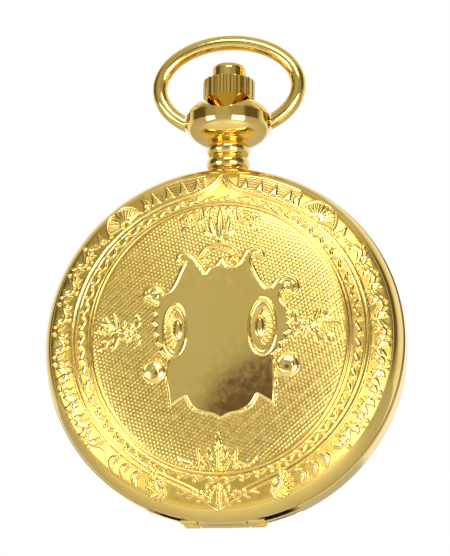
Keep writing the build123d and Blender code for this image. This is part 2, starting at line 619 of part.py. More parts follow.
with BuildPart() as crown_wheel:
    gear(WINDING_LEVEL, CROWN_WHEEL_TEETH, WINDING_MODULE, CROWN_WHEEL, bore=0.6)
crown_wheel.part.label = "crown_wheel"

with BuildPart() as ratchet_wheel:
    gear(WINDING_LEVEL, RATCHET_TEETH, WINDING_MODULE, BARREL, RATCHET_PHASE, bore=0.7)
ratchet_wheel.part.label = "ratchet_wheel"

with BuildPart() as ratchet_screw:
    screw(3.55, 4.9, 1.5, 0.35, 0.35, BARREL)
ratchet_screw.part.label = "ratchet_screw"

with BuildPart() as click:
    strip((3.95, 4.25), CLICK, CLICK_NOSE, 0.4)
    disc((3.95, 4.25), 0.7, at=CLICK)
    disc((3.95, 4.25), POST_BORE, at=CLICK, mode=Mode.SUBTRACT)
click.part.label = "click"

with BuildPart() as winding_screws:
    screw(3.55, 5.0, 1.3, 0.55, 0.33, CROWN_WHEEL)
    screw(3.65, 5.2, 0.6, POST_RADIUS, 0.25, CLICK)
winding_screws.part.label = "winding_screws"

with BuildPart() as click_spring:
    disc((4.0, 4.35), 0.5, at=(-14.9, 3.2))
    strip((4.0, 4.2), (-14.9, 3.2), (-12.85, 7.2), 0.2)
click_spring.part.label = "click_spring"


# ---- Barrel and going train ------------------------------------------------------------------------------
def arbor(radius, span, at):
    """A wheel's axle: a thick middle, with a thin pivot at each end."""
    disc((PIVOT_LOW, span[0]), PIVOT_RADIUS, at=at)
    disc(span, radius, at=at)
    disc((span[1], PIVOT_HIGH), PIVOT_RADIUS, at=at)


with BuildPart() as barrel:
    gear(BARREL_TOOTH_LEVEL, BARREL_TEETH, BARREL_MODULE, BARREL, BARREL_PHASE, bore=0.75)
    disc((5.4, 6.7), 7.7, 7.3, BARREL)
barrel.part.label = "barrel"

with BuildPart() as barrel_lid:
    disc((5.4, 5.6), 7.3, 0.75, BARREL)
barrel_lid.part.label = "barrel_lid"

with BuildPart() as barrel_arbor:
    disc((3.9, 5.65), 0.7, at=BARREL)
    disc((5.65, 6.65), 1.4, at=BARREL)
    disc((6.65, 7.15), 0.7, at=BARREL)
    disc((7.15, 8.2), 0.5, at=BARREL)
    disc((3.9, 4.95), 0.35, at=BARREL, mode=Mode.SUBTRACT)
barrel_arbor.part.label = "barrel_arbor"

with BuildPart() as mainspring:
    spiral((5.75, 6.6), 1.7, 6.8, 8, 0.15, BARREL)
mainspring.part.label = "mainspring"

with BuildPart() as center_wheel:
    gear(CENTER_LEVEL, CENTER_TEETH, CENTER_MODULE, CENTER, bore=0.35)
    crossings(CENTER_LEVEL, 1.2, 5.2, 0.5, 5, CENTER)
center_wheel.part.label = "center_wheel"

with BuildPart() as center_pinion:
    gear((6.5, 7.2), PINION_LEAVES, BARREL_MODULE, CENTER, CENTER_PINION_PHASE)
    disc((PIVOT_LOW, 5.0), 0.18, at=CENTER)
    disc((5.0, 9.75), 0.35, at=CENTER)
    disc((7.2, CENTER_LEVEL[0]), 0.6, at=CENTER)
center_pinion.part.label = "center_pinion"

with BuildPart() as third_wheel:
    gear(THIRD_LEVEL, THIRD_TEETH, THIRD_MODULE, THIRD, bore=0.25)
    crossings(THIRD_LEVEL, 0.9, 4.2, 0.4, 5, THIRD)
third_wheel.part.label = "third_wheel"

with BuildPart() as third_pinion:
    gear((7.3, 7.7), PINION_LEAVES, CENTER_MODULE, THIRD, THIRD_PINION_PHASE)
    arbor(0.25, (5.0, 7.7), THIRD)
third_pinion.part.label = "third_pinion"

with BuildPart() as fourth_wheel:
    gear(FOURTH_LEVEL, FOURTH_TEETH, FOURTH_MODULE, FOURTH, bore=0.2)
    crossings(FOURTH_LEVEL, 0.8, 3.4, 0.35, 5, FOURTH)
fourth_wheel.part.label = "fourth_wheel"

with BuildPart() as fourth_pinion:
    gear((5.6, 5.9), PINION_LEAVES, THIRD_MODULE, FOURTH, FOURTH_PINION_PHASE)
    disc((PIVOT_LOW, 5.0), PIVOT_RADIUS, at=FOURTH)
    disc((5.0, SECOND_LEVEL[1]), 0.2, at=FOURTH)
fourth_pinion.part.label = "fourth_pinion"

with BuildPart() as escape_pinion:
    gear((6.2, 6.5), ESCAPE_LEAVES, FOURTH_MODULE, ESCAPE, ESCAPE_PINION_PHASE)
    arbor(0.15, (5.0, 7.85), ESCAPE)
escape_pinion.part.label = "escape_pinion"

with BuildPart() as escape_wheel:
    escape_outline = []
    for tooth in range(ESCAPE_TEETH):
        heel = tooth * 360 / ESCAPE_TEETH
        escape_outline += [polar(ESCAPE, 1.95, heel), polar(ESCAPE, ESCAPE_RADIUS, heel + 7),
                           polar(ESCAPE, ESCAPE_RADIUS, heel + 9.5), polar(ESCAPE, 2.0, heel + 8)]
    plate(ESCAPE_LEVEL, escape_outline)
    crossings(ESCAPE_LEVEL, 0.5, 1.6, 0.25, 4, ESCAPE)
    disc(ESCAPE_LEVEL, 0.15, at=ESCAPE, mode=Mode.SUBTRACT)
escape_wheel.part.label = "escape_wheel"


# ---- Lever escapement and balance ----------------------------------------------------------------------------
LEVER_LINE = 155                # the escape wheel, pallets and balance stand on this bearing
STONE_SPREAD = 33               # each stone stands this far round the escape wheel


def stones(mode=Mode.ADD):
    """The two ruby pallets, just outside the escape wheel's teeth."""
    for side in (-STONE_SPREAD, STONE_SPREAD):
        bearing = LEVER_LINE + side
        strip(ESCAPE_LEVEL, polar(ESCAPE, 2.9, bearing), polar(ESCAPE, 3.1, bearing), 0.2, mode)


with BuildPart() as pallet_fork:
    for side in (-STONE_SPREAD, STONE_SPREAD):
        strip(ESCAPE_LEVEL, PALLET, polar(ESCAPE, 3.12, LEVER_LINE + side), 0.4)
    strip(ESCAPE_LEVEL, PALLET, polar(PALLET, 2.3, LEVER_LINE), 0.35)
    for side in (-6.5, 6.5):
        strip(ESCAPE_LEVEL, polar(PALLET, 2.2, LEVER_LINE + side), polar(PALLET, 2.65, LEVER_LINE + side), 0.2)
    strip(ESCAPE_LEVEL, polar(PALLET, 2.2, LEVER_LINE - 6.5), polar(PALLET, 2.2, LEVER_LINE + 6.5), 0.3)
    stones(Mode.SUBTRACT)
    disc((6.25, PIVOT_HIGH), PIVOT_RADIUS, at=PALLET)
    disc((6.65, 7.85), 0.15, at=PALLET)
pallet_fork.part.label = "pallet_fork"

with BuildPart() as pallet_stones:
    stones()
pallet_stones.part.label = "pallet_stones"

with BuildPart() as balance_wheel:
    disc((5.5, 6.0), BALANCE_RADIUS, BALANCE_RADIUS - 0.5, BALANCE)
    strip((5.65, 5.85), polar(BALANCE, 4.4, 65), polar(BALANCE, 4.4, 245), 0.6)
    disc((5.65, 5.85), 0.2, at=BALANCE, mode=Mode.SUBTRACT)
balance_wheel.part.label = "balance_wheel"

with BuildPart() as balance_staff:
    arbor(0.2, (5.0, 7.85), BALANCE)
    disc((5.15, 5.45), 0.5, at=BALANCE)
    disc((6.3, 6.5), 0.8, at=BALANCE)
    disc((6.5, 6.95), 0.1, at=polar(BALANCE, 0.55, LEVER_LINE + 180))
balance_staff.part.label = "balance_staff"

with BuildPart() as hairspring:
    spiral((5.2, 5.4), 0.7, 2.9, 7, 0.06, BALANCE)
hairspring.part.label = "hairspring"


# ---- Dial, motion work and hands --------------------------------------------------------------------------------
HOUR_BEARING, MINUTE_BEARING, SECOND_BEARING = 145, 30, 90     # the hands stand at ten past ten


def hand(span, at, bearing, hub, bore, outline):
    """A hand with a round hub. The outline is (distance along, half width), from the hub outward."""
    sides = ([], [])
    for length, half_width in outline:
        spine = polar(at, length, bearing)
        sides[0].append(polar(spine, half_width, bearing - 90))
        sides[1].append(polar(spine, half_width, bearing + 90))
    plate(span, sides[0] + sides[1][::-1])
    disc(span, hub, at=at)
    disc(span, bore, at=at, mode=Mode.SUBTRACT)


with BuildPart() as dial:
    disc(DIAL_LEVEL, 18.95, 1.1)
    disc(DIAL_LEVEL, 0.5, at=FOURTH, mode=Mode.SUBTRACT)
    disc((9.15, 9.2), 3.3, at=FOURTH, mode=Mode.SUBTRACT)
    for hour in range(12):
        bearing = 90 - 30 * hour
        if hour != 6:
            strip((9.2, 9.32), polar(CENTER, 13.6, bearing), polar(CENTER, 15.8, bearing), 0.7)
dial.part.label = "dial"

with BuildPart() as cannon_pinion:
    gear((8.32, 8.6), CANNON_LEAVES, MOTION_MODULE, CENTER)
    disc((8.32, 9.85), 0.62, at=CENTER)
    disc((8.3, 9.9), 0.37, at=CENTER, mode=Mode.SUBTRACT)
cannon_pinion.part.label = "cannon_pinion"

with BuildPart() as minute_wheel:
    gear(MOTION_LEVEL, MINUTE_TEETH, MOTION_MODULE, MINUTE_WHEEL, MINUTE_PHASE)
    gear((8.55, 8.85), PINION_LEAVES, HOUR_MODULE, MINUTE_WHEEL)
    disc((8.3, 8.9), POST_BORE, at=MINUTE_WHEEL, mode=Mode.SUBTRACT)
minute_wheel.part.label = "minute_wheel"

with BuildPart() as hour_wheel:
    gear(HOUR_LEVEL, HOUR_TEETH, HOUR_MODULE, CENTER, HOUR_PHASE)
    disc((HOUR_LEVEL[0], HOUR_HAND_LEVEL[1]), 0.95, at=CENTER)
    disc((8.6, 9.6), 0.65, at=CENTER, mode=Mode.SUBTRACT)
hour_wheel.part.label = "hour_wheel"

with BuildPart() as setting_wheel:
    gear(MOTION_LEVEL, SETTING_TEETH, MOTION_MODULE, SETTING, SETTING_PHASE, POST_BORE)
setting_wheel.part.label = "setting_wheel"

with BuildPart() as intermediate_wheel:
    gear(MOTION_LEVEL, SETTING_TEETH, MOTION_MODULE, INTERMEDIATE, INTERMEDIATE_PHASE, POST_BORE)
intermediate_wheel.part.label = "intermediate_wheel"

with BuildPart() as hour_hand:
    hand(HOUR_HAND_LEVEL, CENTER, HOUR_BEARING, 1.35, 0.95, ((0.0, 0.4), (5.4, 0.25), (6.3, 0.8), (9.0, 0.05)))
hour_hand.part.label = "hour_hand"

with BuildPart() as minute_hand:
    hand(MINUTE_HAND_LEVEL, CENTER, MINUTE_BEARING, 1.0, 0.62, ((0.0, 0.35), (9.8, 0.22), (10.6, 0.6), (13.6, 0.05)))
minute_hand.part.label = "minute_hand"

with BuildPart() as second_hand:
    hand(SECOND_LEVEL, FOURTH, SECOND_BEARING, 0.4, 0.2, ((-1.0, 0.12), (2.9, 0.05)))
second_hand.part.label = "second_hand"


# ---- Files ---------------------------------------------------------------------------------------------------------
os.makedirs("parts", exist_ok=True)
for piece in (
    front_cover, back_cover, case_middle, hinge_pins, bezel, crystal, cuvette_ring, cuvette_glass,
    latch_spring, lift_spring, pendant, stem_sleeve, bow, crown, winding_stem, release_button, main_plate,
    barrel_bridge, train_bridge, balance_cock, pallet_cock, regulator, movement_screws, jewels,
    winding_pinion, sliding_pinion, setting_lever, yoke, crown_wheel, ratchet_wheel, ratchet_screw, click,
    winding_screws, click_spring, barrel, barrel_lid, barrel_arbor, mainspring, center_wheel,
    center_pinion, third_wheel, third_pinion, fourth_wheel, fourth_pinion, escape_pinion, escape_wheel,
    pallet_fork, pallet_stones, balance_wheel, balance_staff, hairspring, dial, cannon_pinion,
    minute_wheel, hour_wheel, setting_wheel, intermediate_wheel, hour_hand, minute_hand, second_hand,
):
    export_step(piece.part, f"parts/{piece.part.label}.step")
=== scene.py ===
import math

import bpy
import numpy as np
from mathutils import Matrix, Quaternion, Vector


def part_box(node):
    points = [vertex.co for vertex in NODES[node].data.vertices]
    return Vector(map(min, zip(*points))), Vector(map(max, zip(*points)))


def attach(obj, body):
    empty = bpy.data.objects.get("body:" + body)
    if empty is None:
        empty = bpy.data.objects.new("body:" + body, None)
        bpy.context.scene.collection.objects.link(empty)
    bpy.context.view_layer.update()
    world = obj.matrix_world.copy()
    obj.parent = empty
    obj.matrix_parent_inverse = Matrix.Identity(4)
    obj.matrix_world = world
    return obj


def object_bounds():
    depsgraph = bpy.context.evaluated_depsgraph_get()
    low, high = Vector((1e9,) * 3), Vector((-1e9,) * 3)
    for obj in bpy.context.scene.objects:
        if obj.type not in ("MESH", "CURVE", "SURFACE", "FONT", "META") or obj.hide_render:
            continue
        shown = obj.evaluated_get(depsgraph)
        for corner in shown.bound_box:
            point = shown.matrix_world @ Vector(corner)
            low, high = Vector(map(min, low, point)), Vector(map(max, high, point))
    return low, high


# A gold hunter-cased pocket watch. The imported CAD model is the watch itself. This script adds the
# stamped relief of both covers and the dial's printing, and gives every part its material.
# Relief is drawn on a plan of each cover: u runs to three o'clock and v to twelve o'clock, in mm.

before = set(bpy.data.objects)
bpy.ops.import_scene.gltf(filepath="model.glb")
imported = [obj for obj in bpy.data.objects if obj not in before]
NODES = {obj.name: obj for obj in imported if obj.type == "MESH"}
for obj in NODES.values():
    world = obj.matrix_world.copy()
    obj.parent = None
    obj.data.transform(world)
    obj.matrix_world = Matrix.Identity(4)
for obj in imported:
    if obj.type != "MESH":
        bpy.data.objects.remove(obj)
CAD_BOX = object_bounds()
MM = 0.001


# ---- Curves on the plan --------------------------------------------------------------------------
def smooth(points, steps=5):
    """A curve through the points (Catmull-Rom), as a finely broken line."""
    points = np.array(points, float)
    if len(points) < 3:
        return points
    ends = np.vstack([2 * points[0] - points[1], points, 2 * points[-1] - points[-2]])
    t = np.linspace(0, 1, steps, endpoint=False)[:, None]
    runs = []
    for a, b, c, d in zip(ends, ends[1:], ends[2:], ends[3:]):
        runs.append(0.5 * (2 * b + (c - a) * t + (2 * a - 5 * b + 4 * c - d) * t**2
                           + (3 * b - a - 3 * c + d) * t**3))
    return np.vstack(runs + [points[-1:]])


def polar(radius, degrees, centre=(0.0, 0.0)):
    """The place at a distance and angle from a centre. It takes arrays too."""
    angle = np.radians(degrees)
    return np.stack([centre[0] + radius * np.cos(angle), centre[1] + radius * np.sin(angle)], -1)


def arc(centre, radius, start, end, count=14):
    return polar(radius, np.linspace(start, end, count), centre)


def spiral(centre, radius, start, turn, end_radius=0.25, count=22):
    """A volute that winds inward from radius to end_radius through turn degrees."""
    t = np.linspace(0, 1, count)
    return polar(radius + (end_radius - radius) * t, start + turn * t, centre)


def to_path(u, v, path):
    """Distance from each place to a broken line, and how far along the line (0 to 1) is nearest."""
    best = np.full(u.shape, 1e9)
    along = np.zeros(u.shape)
    count = len(path) - 1
    for i in range(count):
        a, d = path[i], path[i + 1] - path[i]
        t = np.clip(((u - a[0]) * d[0] + (v - a[1]) * d[1]) / max(d @ d, 1e-12), 0, 1)
        distance = np.hypot(u - a[0] - t * d[0], v - a[1] - t * d[1])
        nearer = distance < best
        best = np.where(nearer, distance, best)
        along = np.where(nearer, (i + t) / count, along)
    return best, along


def inside(u, v, outline):
    """Which places lie inside a closed outline, by counting crossings."""
    found = np.zeros(u.shape, bool)
    for a, b in zip(outline, np.roll(outline, -1, axis=0)):
        rises = (a[1] > v) != (b[1] > v)
        drop = b[1] - a[1]
        crossing = a[0] + (v - a[1]) * (b[0] - a[0]) / (drop if drop else 1e-12)
        found ^= rises & (u < crossing)
    return found


def ease(x):
    x = np.clip(x, 0, 1)
    return x * x * (3 - 2 * x)


# ---- The relief canvas ---------------------------------------------------------------------------
class Canvas:
    """Heights over a cover's plan. Each drawing method lifts the surface where its shape is."""

    def __init__(self, u, v):
        self.u, self.v = u, v
        self.rho = np.hypot(u, v)
        self.theta = np.degrees(np.arctan2(v, u))
        self.height = np.zeros(u.shape)
        self.shine = np.zeros(u.shape)

    def move(self, du, dv):
        """Shifts the origin that later shapes are drawn from."""
        self.u = self.u - du
        self.v = self.v - dv

    def near(self, points, reach):
        low, high = np.min(points, axis=0) - reach, np.max(points, axis=0) + reach
        return np.flatnonzero((self.u > low[0]) & (self.u < high[0])
                              & (self.v > low[1]) & (self.v < high[1]))

    def lift(self, index, height, shine=0.0):
        self.height[index] = np.maximum(self.height[index], height)
        self.shine[index] = np.where(height > 0.02, np.maximum(self.shine[index], shine),
                                     self.shine[index])

    def ridge(self, points, width, height, taper=0.0, shine=0.6):
        """A rounded rib along a curve. taper thins it toward its far end."""
        path = smooth(points)
        index = self.near(path, width)
        if not len(index):
            return
        distance, along = to_path(self.u[index], self.v[index], path)
        half = width / 2 * (1 - taper * along)
        self.lift(index, height * np.sqrt(np.clip(1 - (distance / half) ** 2, 0, 1)), shine)

    def leaf(self, points, width, height):
        """An almond-shaped blade along a curve, with a vein down its middle."""
        path = smooth(points)
        index = self.near(path, width)
        if not len(index):
            return
        distance, along = to_path(self.u[index], self.v[index], path)
        half = np.maximum(width / 2 * np.sin(np.pi * np.clip(along, 0.04, 0.97) ** 0.75), 0.03)
        blade = np.sqrt(np.clip(1 - (distance / half) ** 2, 0, 1))
        vein = 1 - 0.45 * np.exp(-(distance / 0.12) ** 2)
        self.lift(index, height * blade * vein, 0.6)

    def boss(self, centre, radius, height):
        index = self.near([centre], radius)
        distance = np.hypot(self.u[index] - centre[0], self.v[index] - centre[1]) / radius
        self.lift(index, height * np.sqrt(np.clip(1 - distance ** 2, 0, 1)), 0.7)

    def plateau(self, outline, height, bevel, shine=1.0):
        """A flat-topped shape with sloped edges."""
        outline = np.asarray(outline)
        index = self.near(outline, 0)
        u, v = self.u[index], self.v[index]
        edge, _ = to_path(u, v, np.vstack([outline, outline[:1]]))
        rise = np.where(inside(u, v, outline), ease(edge / bevel), 0)
        self.lift(index, height * rise, shine)

    def sink_ellipse(self, centre, semi, height, bevel):
        """Lowers an oval window to a height."""
        index = self.near([centre], max(semi))
        span = np.hypot((self.u[index] - centre[0]) / semi[0], (self.v[index] - centre[1]) / semi[1])
        blend = ease((1 - span) * min(semi) / bevel)
        self.height[index] += (np.minimum(height, self.height[index]) - self.height[index]) * blend
        self.shine[index] *= 1 - blend

    def loop(self, radius, width, height, shine=0.7):
        """A rib that follows radius(theta) all round the cover."""
        step = 0.05
        at = radius(self.theta)
        slope = (radius(self.theta + step) - radius(self.theta - step)) / (2 * np.radians(step) * at)
        distance = np.abs(self.rho - at) / np.sqrt(1 + slope ** 2)
        self.lift(slice(None), height * np.sqrt(np.clip(1 - (2 * distance / width) ** 2, 0, 1)), shine)


# ---- The covers' outer surfaces ------------------------------------------------------------------
class Dome:
    """A cover's outside: a flat, then tangent arcs (radius, turn in degrees), from the axis outward.
    side is 1 where the dome bulges to the dial's side and -1 to the back."""

    def __init__(self, apex, flat, turns, side):
        self.apex, self.flat, self.side = apex, flat, side
        self.arcs = []
        at, depth, angle = flat, apex, 0.0
        for radius, turn in turns:
            centre = at - radius * math.sin(angle), depth - side * radius * math.cos(angle)
            angle += math.radians(turn)
            at = centre[0] + radius * math.sin(angle)
            depth = centre[1] + side * radius * math.cos(angle)
            self.arcs.append((at, centre, radius))

    def points(self, u, v, height):
        """Places on the dome, lifted along its normal, in metres."""
        r = np.maximum(np.hypot(u, v), 1e-9)
        lean = np.zeros(r.shape)
        depth = np.full(r.shape, float(self.apex))
        start = self.flat
        for end, centre, radius in self.arcs:
            here = r > start
            sine = np.clip((r - centre[0]) / radius, 0, 1)
            lean = np.where(here, sine, lean)
            depth = np.where(here, centre[1] + self.side * radius * np.sqrt(1 - sine ** 2), depth)
            start = end
        out = height * lean / r
        depth = depth + self.side * height * np.sqrt(1 - lean ** 2)
        return np.stack([u + u * out, -depth, v + v * out], -1) * MM


FRONT = Dome(-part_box("front_cover")[0].y / MM, 0.0, ((160, 5), (40, 11), (2.51, 74)), 1)
BACK = Dome(-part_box("back_cover")[1].y / MM, 7.0, ((90, 9), (2.63, 81)), -1)

FIELD_SEMI = (16.5, 17.5)        # the woven field inside the border
WEAVE_TURN = 42.0                # the weave's rows, in degrees from the three o'clock line
BORDER_END = 22.5                # the border's outer radius
FADE = 0.5                       # relief dies away over this width at the edge of a shell
TUCK = 0.06                      # the border's outer edge dips this far into the cover
OVERLAP = 0.15                   # the field runs this far under the border
PROUD = 0.04                     # the relief's ground stands this far off the CAD cover
SUNK = -0.2                      # the hidden underside of a relief shell


def ellipse_radius(theta, semi):
    angle = np.radians(theta)
    return 1 / np.hypot(np.cos(angle) / semi[0], np.sin(angle) / semi[1])


def shell(name, points, faces, canvas, body, material, flip):
    """One closed relief shell as a Blender object, with its height and shine for the material."""
    faces = [tuple(reversed(f)) for f in faces] if flip else faces
    mesh = bpy.data.meshes.new(name)
    mesh.from_pydata(points.tolist(), [], faces)
    mesh.polygons.foreach_set("use_smooth", np.ones(len(faces), bool))
    for label, values in (("relief", canvas.height), ("shine", canvas.shine)):
        full = np.zeros(len(points), np.float32)
        full[:len(values)] = values
        mesh.attributes.new(label, "FLOAT", "POINT").data.foreach_set("value", full)
    mesh.materials.append(material)
    mesh.update()
    piece = bpy.data.objects.new(name, mesh)
    bpy.context.scene.collection.objects.link(piece)
    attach(piece, body)
    return piece


def field_shell(name, dome, draw, body, material, pitch=0.1):
    """The field inside the border: a fine square grid turned to the weave, clipped to the oval."""
    reach = max(FIELD_SEMI) + 2 * OVERLAP
    line = np.arange(-reach, reach + pitch, pitch)
    count = len(line)
    s, t = [a.ravel() for a in np.meshgrid(line, line, indexing="ij")]
    angle = math.radians(WEAVE_TURN)
    u = s * math.cos(angle) - t * math.sin(angle)
    v = s * math.sin(angle) + t * math.cos(angle)
    corner = (np.arange(count - 1)[:, None] * count + np.arange(count - 1)).ravel()
    cells = np.stack([corner, corner + count, corner + count + 1, corner + 1], 1)
    semi = np.array(FIELD_SEMI) + OVERLAP
    kept = np.hypot(u / semi[0], v / semi[1])[cells].max(1) < 1
    used, cells = np.unique(cells[kept], return_inverse=True)
    cells = cells.reshape(-1, 4)
    canvas = Canvas(u[used], v[used])
    draw(canvas)
    edges = np.stack([cells, np.roll(cells, -1, axis=1)], -1).reshape(-1, 2)
    size = len(used)
    alone = ~np.isin(edges[:, 0] * size + edges[:, 1], edges[:, 1] * size + edges[:, 0])
    rim = np.unique(edges[alone])
    below = np.zeros(size, int)
    below[rim] = size + np.arange(len(rim))
    centre = size + len(rim)
    top = dome.points(canvas.u, canvas.v, canvas.height + PROUD)
    under = dome.points(canvas.u[rim], canvas.v[rim], np.full(len(rim), SUNK))
    middle = dome.points(np.zeros(1), np.zeros(1), np.full(1, SUNK))
    faces = [tuple(c) for c in cells.tolist()]
    for a, b in edges[alone].tolist():
        faces.append((b, a, below[a], below[b]))
        faces.append((below[b], below[a], centre))
    return shell(name, np.vstack([top, under, middle]), faces, canvas, body, material, dome.side < 0)


def border_shell(name, dome, draw, body, material, rings=60, spokes=1440):
    """The border round the field: rings and spokes from the oval out to the smooth rim."""
    theta = np.arange(spokes) * 360 / spokes
    t = np.linspace(0, 1, rings)[:, None]
    start = ellipse_radius(theta, FIELD_SEMI)[None]
    radius = (start + (BORDER_END - start) * t).ravel()
    angle = np.tile(theta, rings)
    canvas = Canvas(*polar(radius, angle).T)
    draw(canvas)
    fade = ease((BORDER_END - canvas.rho) / FADE)
    lifted = (canvas.height + PROUD) * fade - TUCK * (1 - fade)
    top = dome.points(canvas.u, canvas.v, lifted)
    ends = np.concatenate([np.arange(spokes), (rings - 1) * spokes + np.arange(spokes)])
    under = dome.points(canvas.u[ends], canvas.v[ends], np.full(2 * spokes, SUNK))
    size = rings * spokes
    loops = list(range(0, size, spokes)) + [size + spokes, size]
    faces = []
    for inner, outer in zip(loops, loops[1:] + loops[:1]):
        for i in range(spokes):
            j = (i + 1) % spokes
            faces.append((inner + i, outer + i, outer + j, inner + j))
    return shell(name, np.vstack([top, under]), faces, canvas, body, material, dome.side < 0)


# ---- Ornament for the front cover ----------------------------------------------------------------
CARTOUCHE_HEIGHT = 0.26
RIGHT_RUNS = (
    ((0, 10.5), (0.5, 9.6), (1.4, 9.2), (2.4, 9.9), (3.1, 11.2), (4.2, 11.6), (5.0, 11.2), (5.2, 10.6)),
    ((5.2, 10.6), (4.5, 10.8), (3.8, 10.4), (3.8, 9.6), (4.3, 8.4), (5.0, 7.2), (5.8, 6.3)),
    ((5.8, 6.3), (6.5, 6.6), (7.2, 7.4), (8.3, 7.8), (9.4, 7.3), (9.7, 6.3), (9.2, 5.5), (8.4, 5.6)),
    ((8.4, 5.6), (7.9, 5.9), (7.5, 5.4), (7.7, 4.6), (8.3, 3.9)),
    ((9.2, 3.5), (8.6, 2.8)), ((9.3, 2.1), (8.6, 1.5)), ((9.1, 0.7), (8.3, 0.2)),
    ((8.5, -0.6), (7.7, -1.0)), ((7.7, -1.8), (6.7, -2.5)),
    ((6.9, -2.9), (7.0, -5.0), (7.0, -7.0), (6.9, -8.9)),
    ((6.9, -8.9), (5.7, -8.2), (4.7, -7.6)),
    ((4.7, -7.6), (3.9, -8.9), (2.5, -9.8), (1.1, -10.1), (0, -10.7)),
)
LEFT_RUNS = (
    ((0, 10.5), (-0.7, 9.5), (-1.5, 9.2), (-2.2, 8.4)),
    ((-2.2, 8.4), (-3.2, 9.9), (-4.1, 10.9), (-5.2, 11.2), (-5.8, 10.6), (-5.5, 10.0)),
    ((-4.8, 9.9), (-5.4, 8.6), (-6.0, 7.2), (-6.7, 6.2), (-7.5, 5.8)),
    ((-7.5, 5.8), (-8.0, 6.6), (-9.0, 7.0), (-9.9, 6.3), (-9.9, 5.4), (-9.0, 5.0), (-8.3, 4.6)),
    ((-8.3, 4.2), (-9.1, 3.6)), ((-8.5, 3.0), (-9.2, 2.2)), ((-8.5, 1.6), (-9.0, 0.7)),
    ((-8.3, 0.3), (-8.6, -0.6)), ((-7.8, -1.1), (-7.9, -1.8), (-6.8, -2.8)),
    ((-7.0, -3.2), (-7.2, -5.2), (-6.9, -7.2), (-6.7, -9.1)),
    ((-6.7, -9.1), (-5.6, -8.3), (-4.6, -7.7)),
    ((-4.6, -7.7), (-3.8, -9.0), (-2.4, -9.8), (-1.1, -10.1), (0, -10.7)),
)
# Each window and flower: its centre, a window's half width and height, and the side it is on.
WINDOWS = (((5.3, 1.2), (1.75, 3.7), 1), ((-6.0, 1.0), (1.5, 3.4), -1))
SCROLL_BALLS = ((8.5, -3.8), (-8.7, -4.3))
CARTOUCHE_SHIFT = (0.45, -0.2)
FLOWERS = (((11.4, 1.1), 1), ((-12.0, 0.9), -1))
FLOWER_SIZE = 1.2


def weave(canvas, depth=0.06, pitch=(0.5, 0.44)):
    """Fine diagonal basket weave: rows of small pads, each row shifted by half a pad."""
    angle = math.radians(WEAVE_TURN)
    s = (canvas.u * math.cos(angle) + canvas.v * math.sin(angle)) / pitch[0]
    t = (canvas.v * math.cos(angle) - canvas.u * math.sin(angle)) / pitch[1]
    shift = 0.5 * (np.floor(t) % 2)
    pads = np.abs(np.sin(np.pi * t)) ** 0.7 * (0.35 + 0.65 * np.abs(np.sin(np.pi * (s + shift))))
    canvas.height += depth * pads


def ellipse(centre, semi, count=40):
    around = np.radians(np.linspace(0, 360, count))
    return np.stack([centre[0] + semi[0] * np.cos(around), centre[1] + semi[1] * np.sin(around)], 1)


def cartouche(canvas):
    """The polished shield with its scrolled edge, windows and balls."""
    right = np.vstack([smooth(run) for run in RIGHT_RUNS])
    left = np.vstack([smooth(run) for run in LEFT_RUNS])
    outline = np.vstack([right, left[::-1]])
    canvas.plateau(outline, CARTOUCHE_HEIGHT, bevel=0.28)
    rim = CARTOUCHE_HEIGHT + 0.1
    for run in RIGHT_RUNS[:4] + LEFT_RUNS[:4]:
        canvas.ridge(run, 0.5, rim + 0.06)
    # The right wall and the two curves of the foot have a thinner edge.
    for run in (RIGHT_RUNS[9][1:], RIGHT_RUNS[11][:3], LEFT_RUNS[11][:3]):
        canvas.ridge(run, 0.18, rim - 0.05)
    for centre, semi, side in WINDOWS:
        window(canvas, centre, semi, side)
    for centre in SCROLL_BALLS:
        canvas.boss(centre, 1.45, 0.5)
        canvas.ridge(spiral(centre, 1.5, 60, 400, 0.5), 0.3, 0.56)
    canvas.ridge(spiral((8.5, 6.4), 1.25, 150, -430, 0.3), 0.4, 0.42)
    canvas.ridge(spiral((-8.8, 5.9), 1.1, 30, 430, 0.3), 0.4, 0.4)


def window(canvas, centre, semi, side):
    """An oval window: a bright rim, a smooth swelling and a row of small ribs beside it."""
    canvas.sink_ellipse(centre, semi, 0.04, 0.3)
    canvas.ridge(ellipse(centre, semi), 0.34, CARTOUCHE_HEIGHT + 0.12, shine=0.9)
    eye = np.array((centre[0] - 0.35 * side, centre[1] + 0.1))
    canvas.plateau(ellipse(eye, (0.75, 1.5)), 0.3, bevel=0.6, shine=0.9)
    for degrees in np.linspace(-68, 68, 9):
        lean = degrees if side > 0 else 180 - degrees
        start = eye + polar(1.0, lean) * (0.85, 1.65)
        end = eye + polar(1.0, lean) * (1.45, 2.4)
        canvas.ridge([start, end], 0.26, 0.26)


def crest(canvas):
    """The small arch over the shield, with a ball at each end."""
    canvas.ridge(((-2.5, 10.6), (-1.6, 11.7), (0, 12.2), (1.7, 11.7), (2.6, 10.7)), 0.42, 0.4)
    canvas.ridge(((-1.6, 10.9), (-0.8, 11.3), (0, 11.5), (0.9, 11.3), (1.7, 10.9)), 0.26, 0.3)
    for side in (-1, 1):
        canvas.boss((1.85 * side, 10.15), 0.52, 0.5)


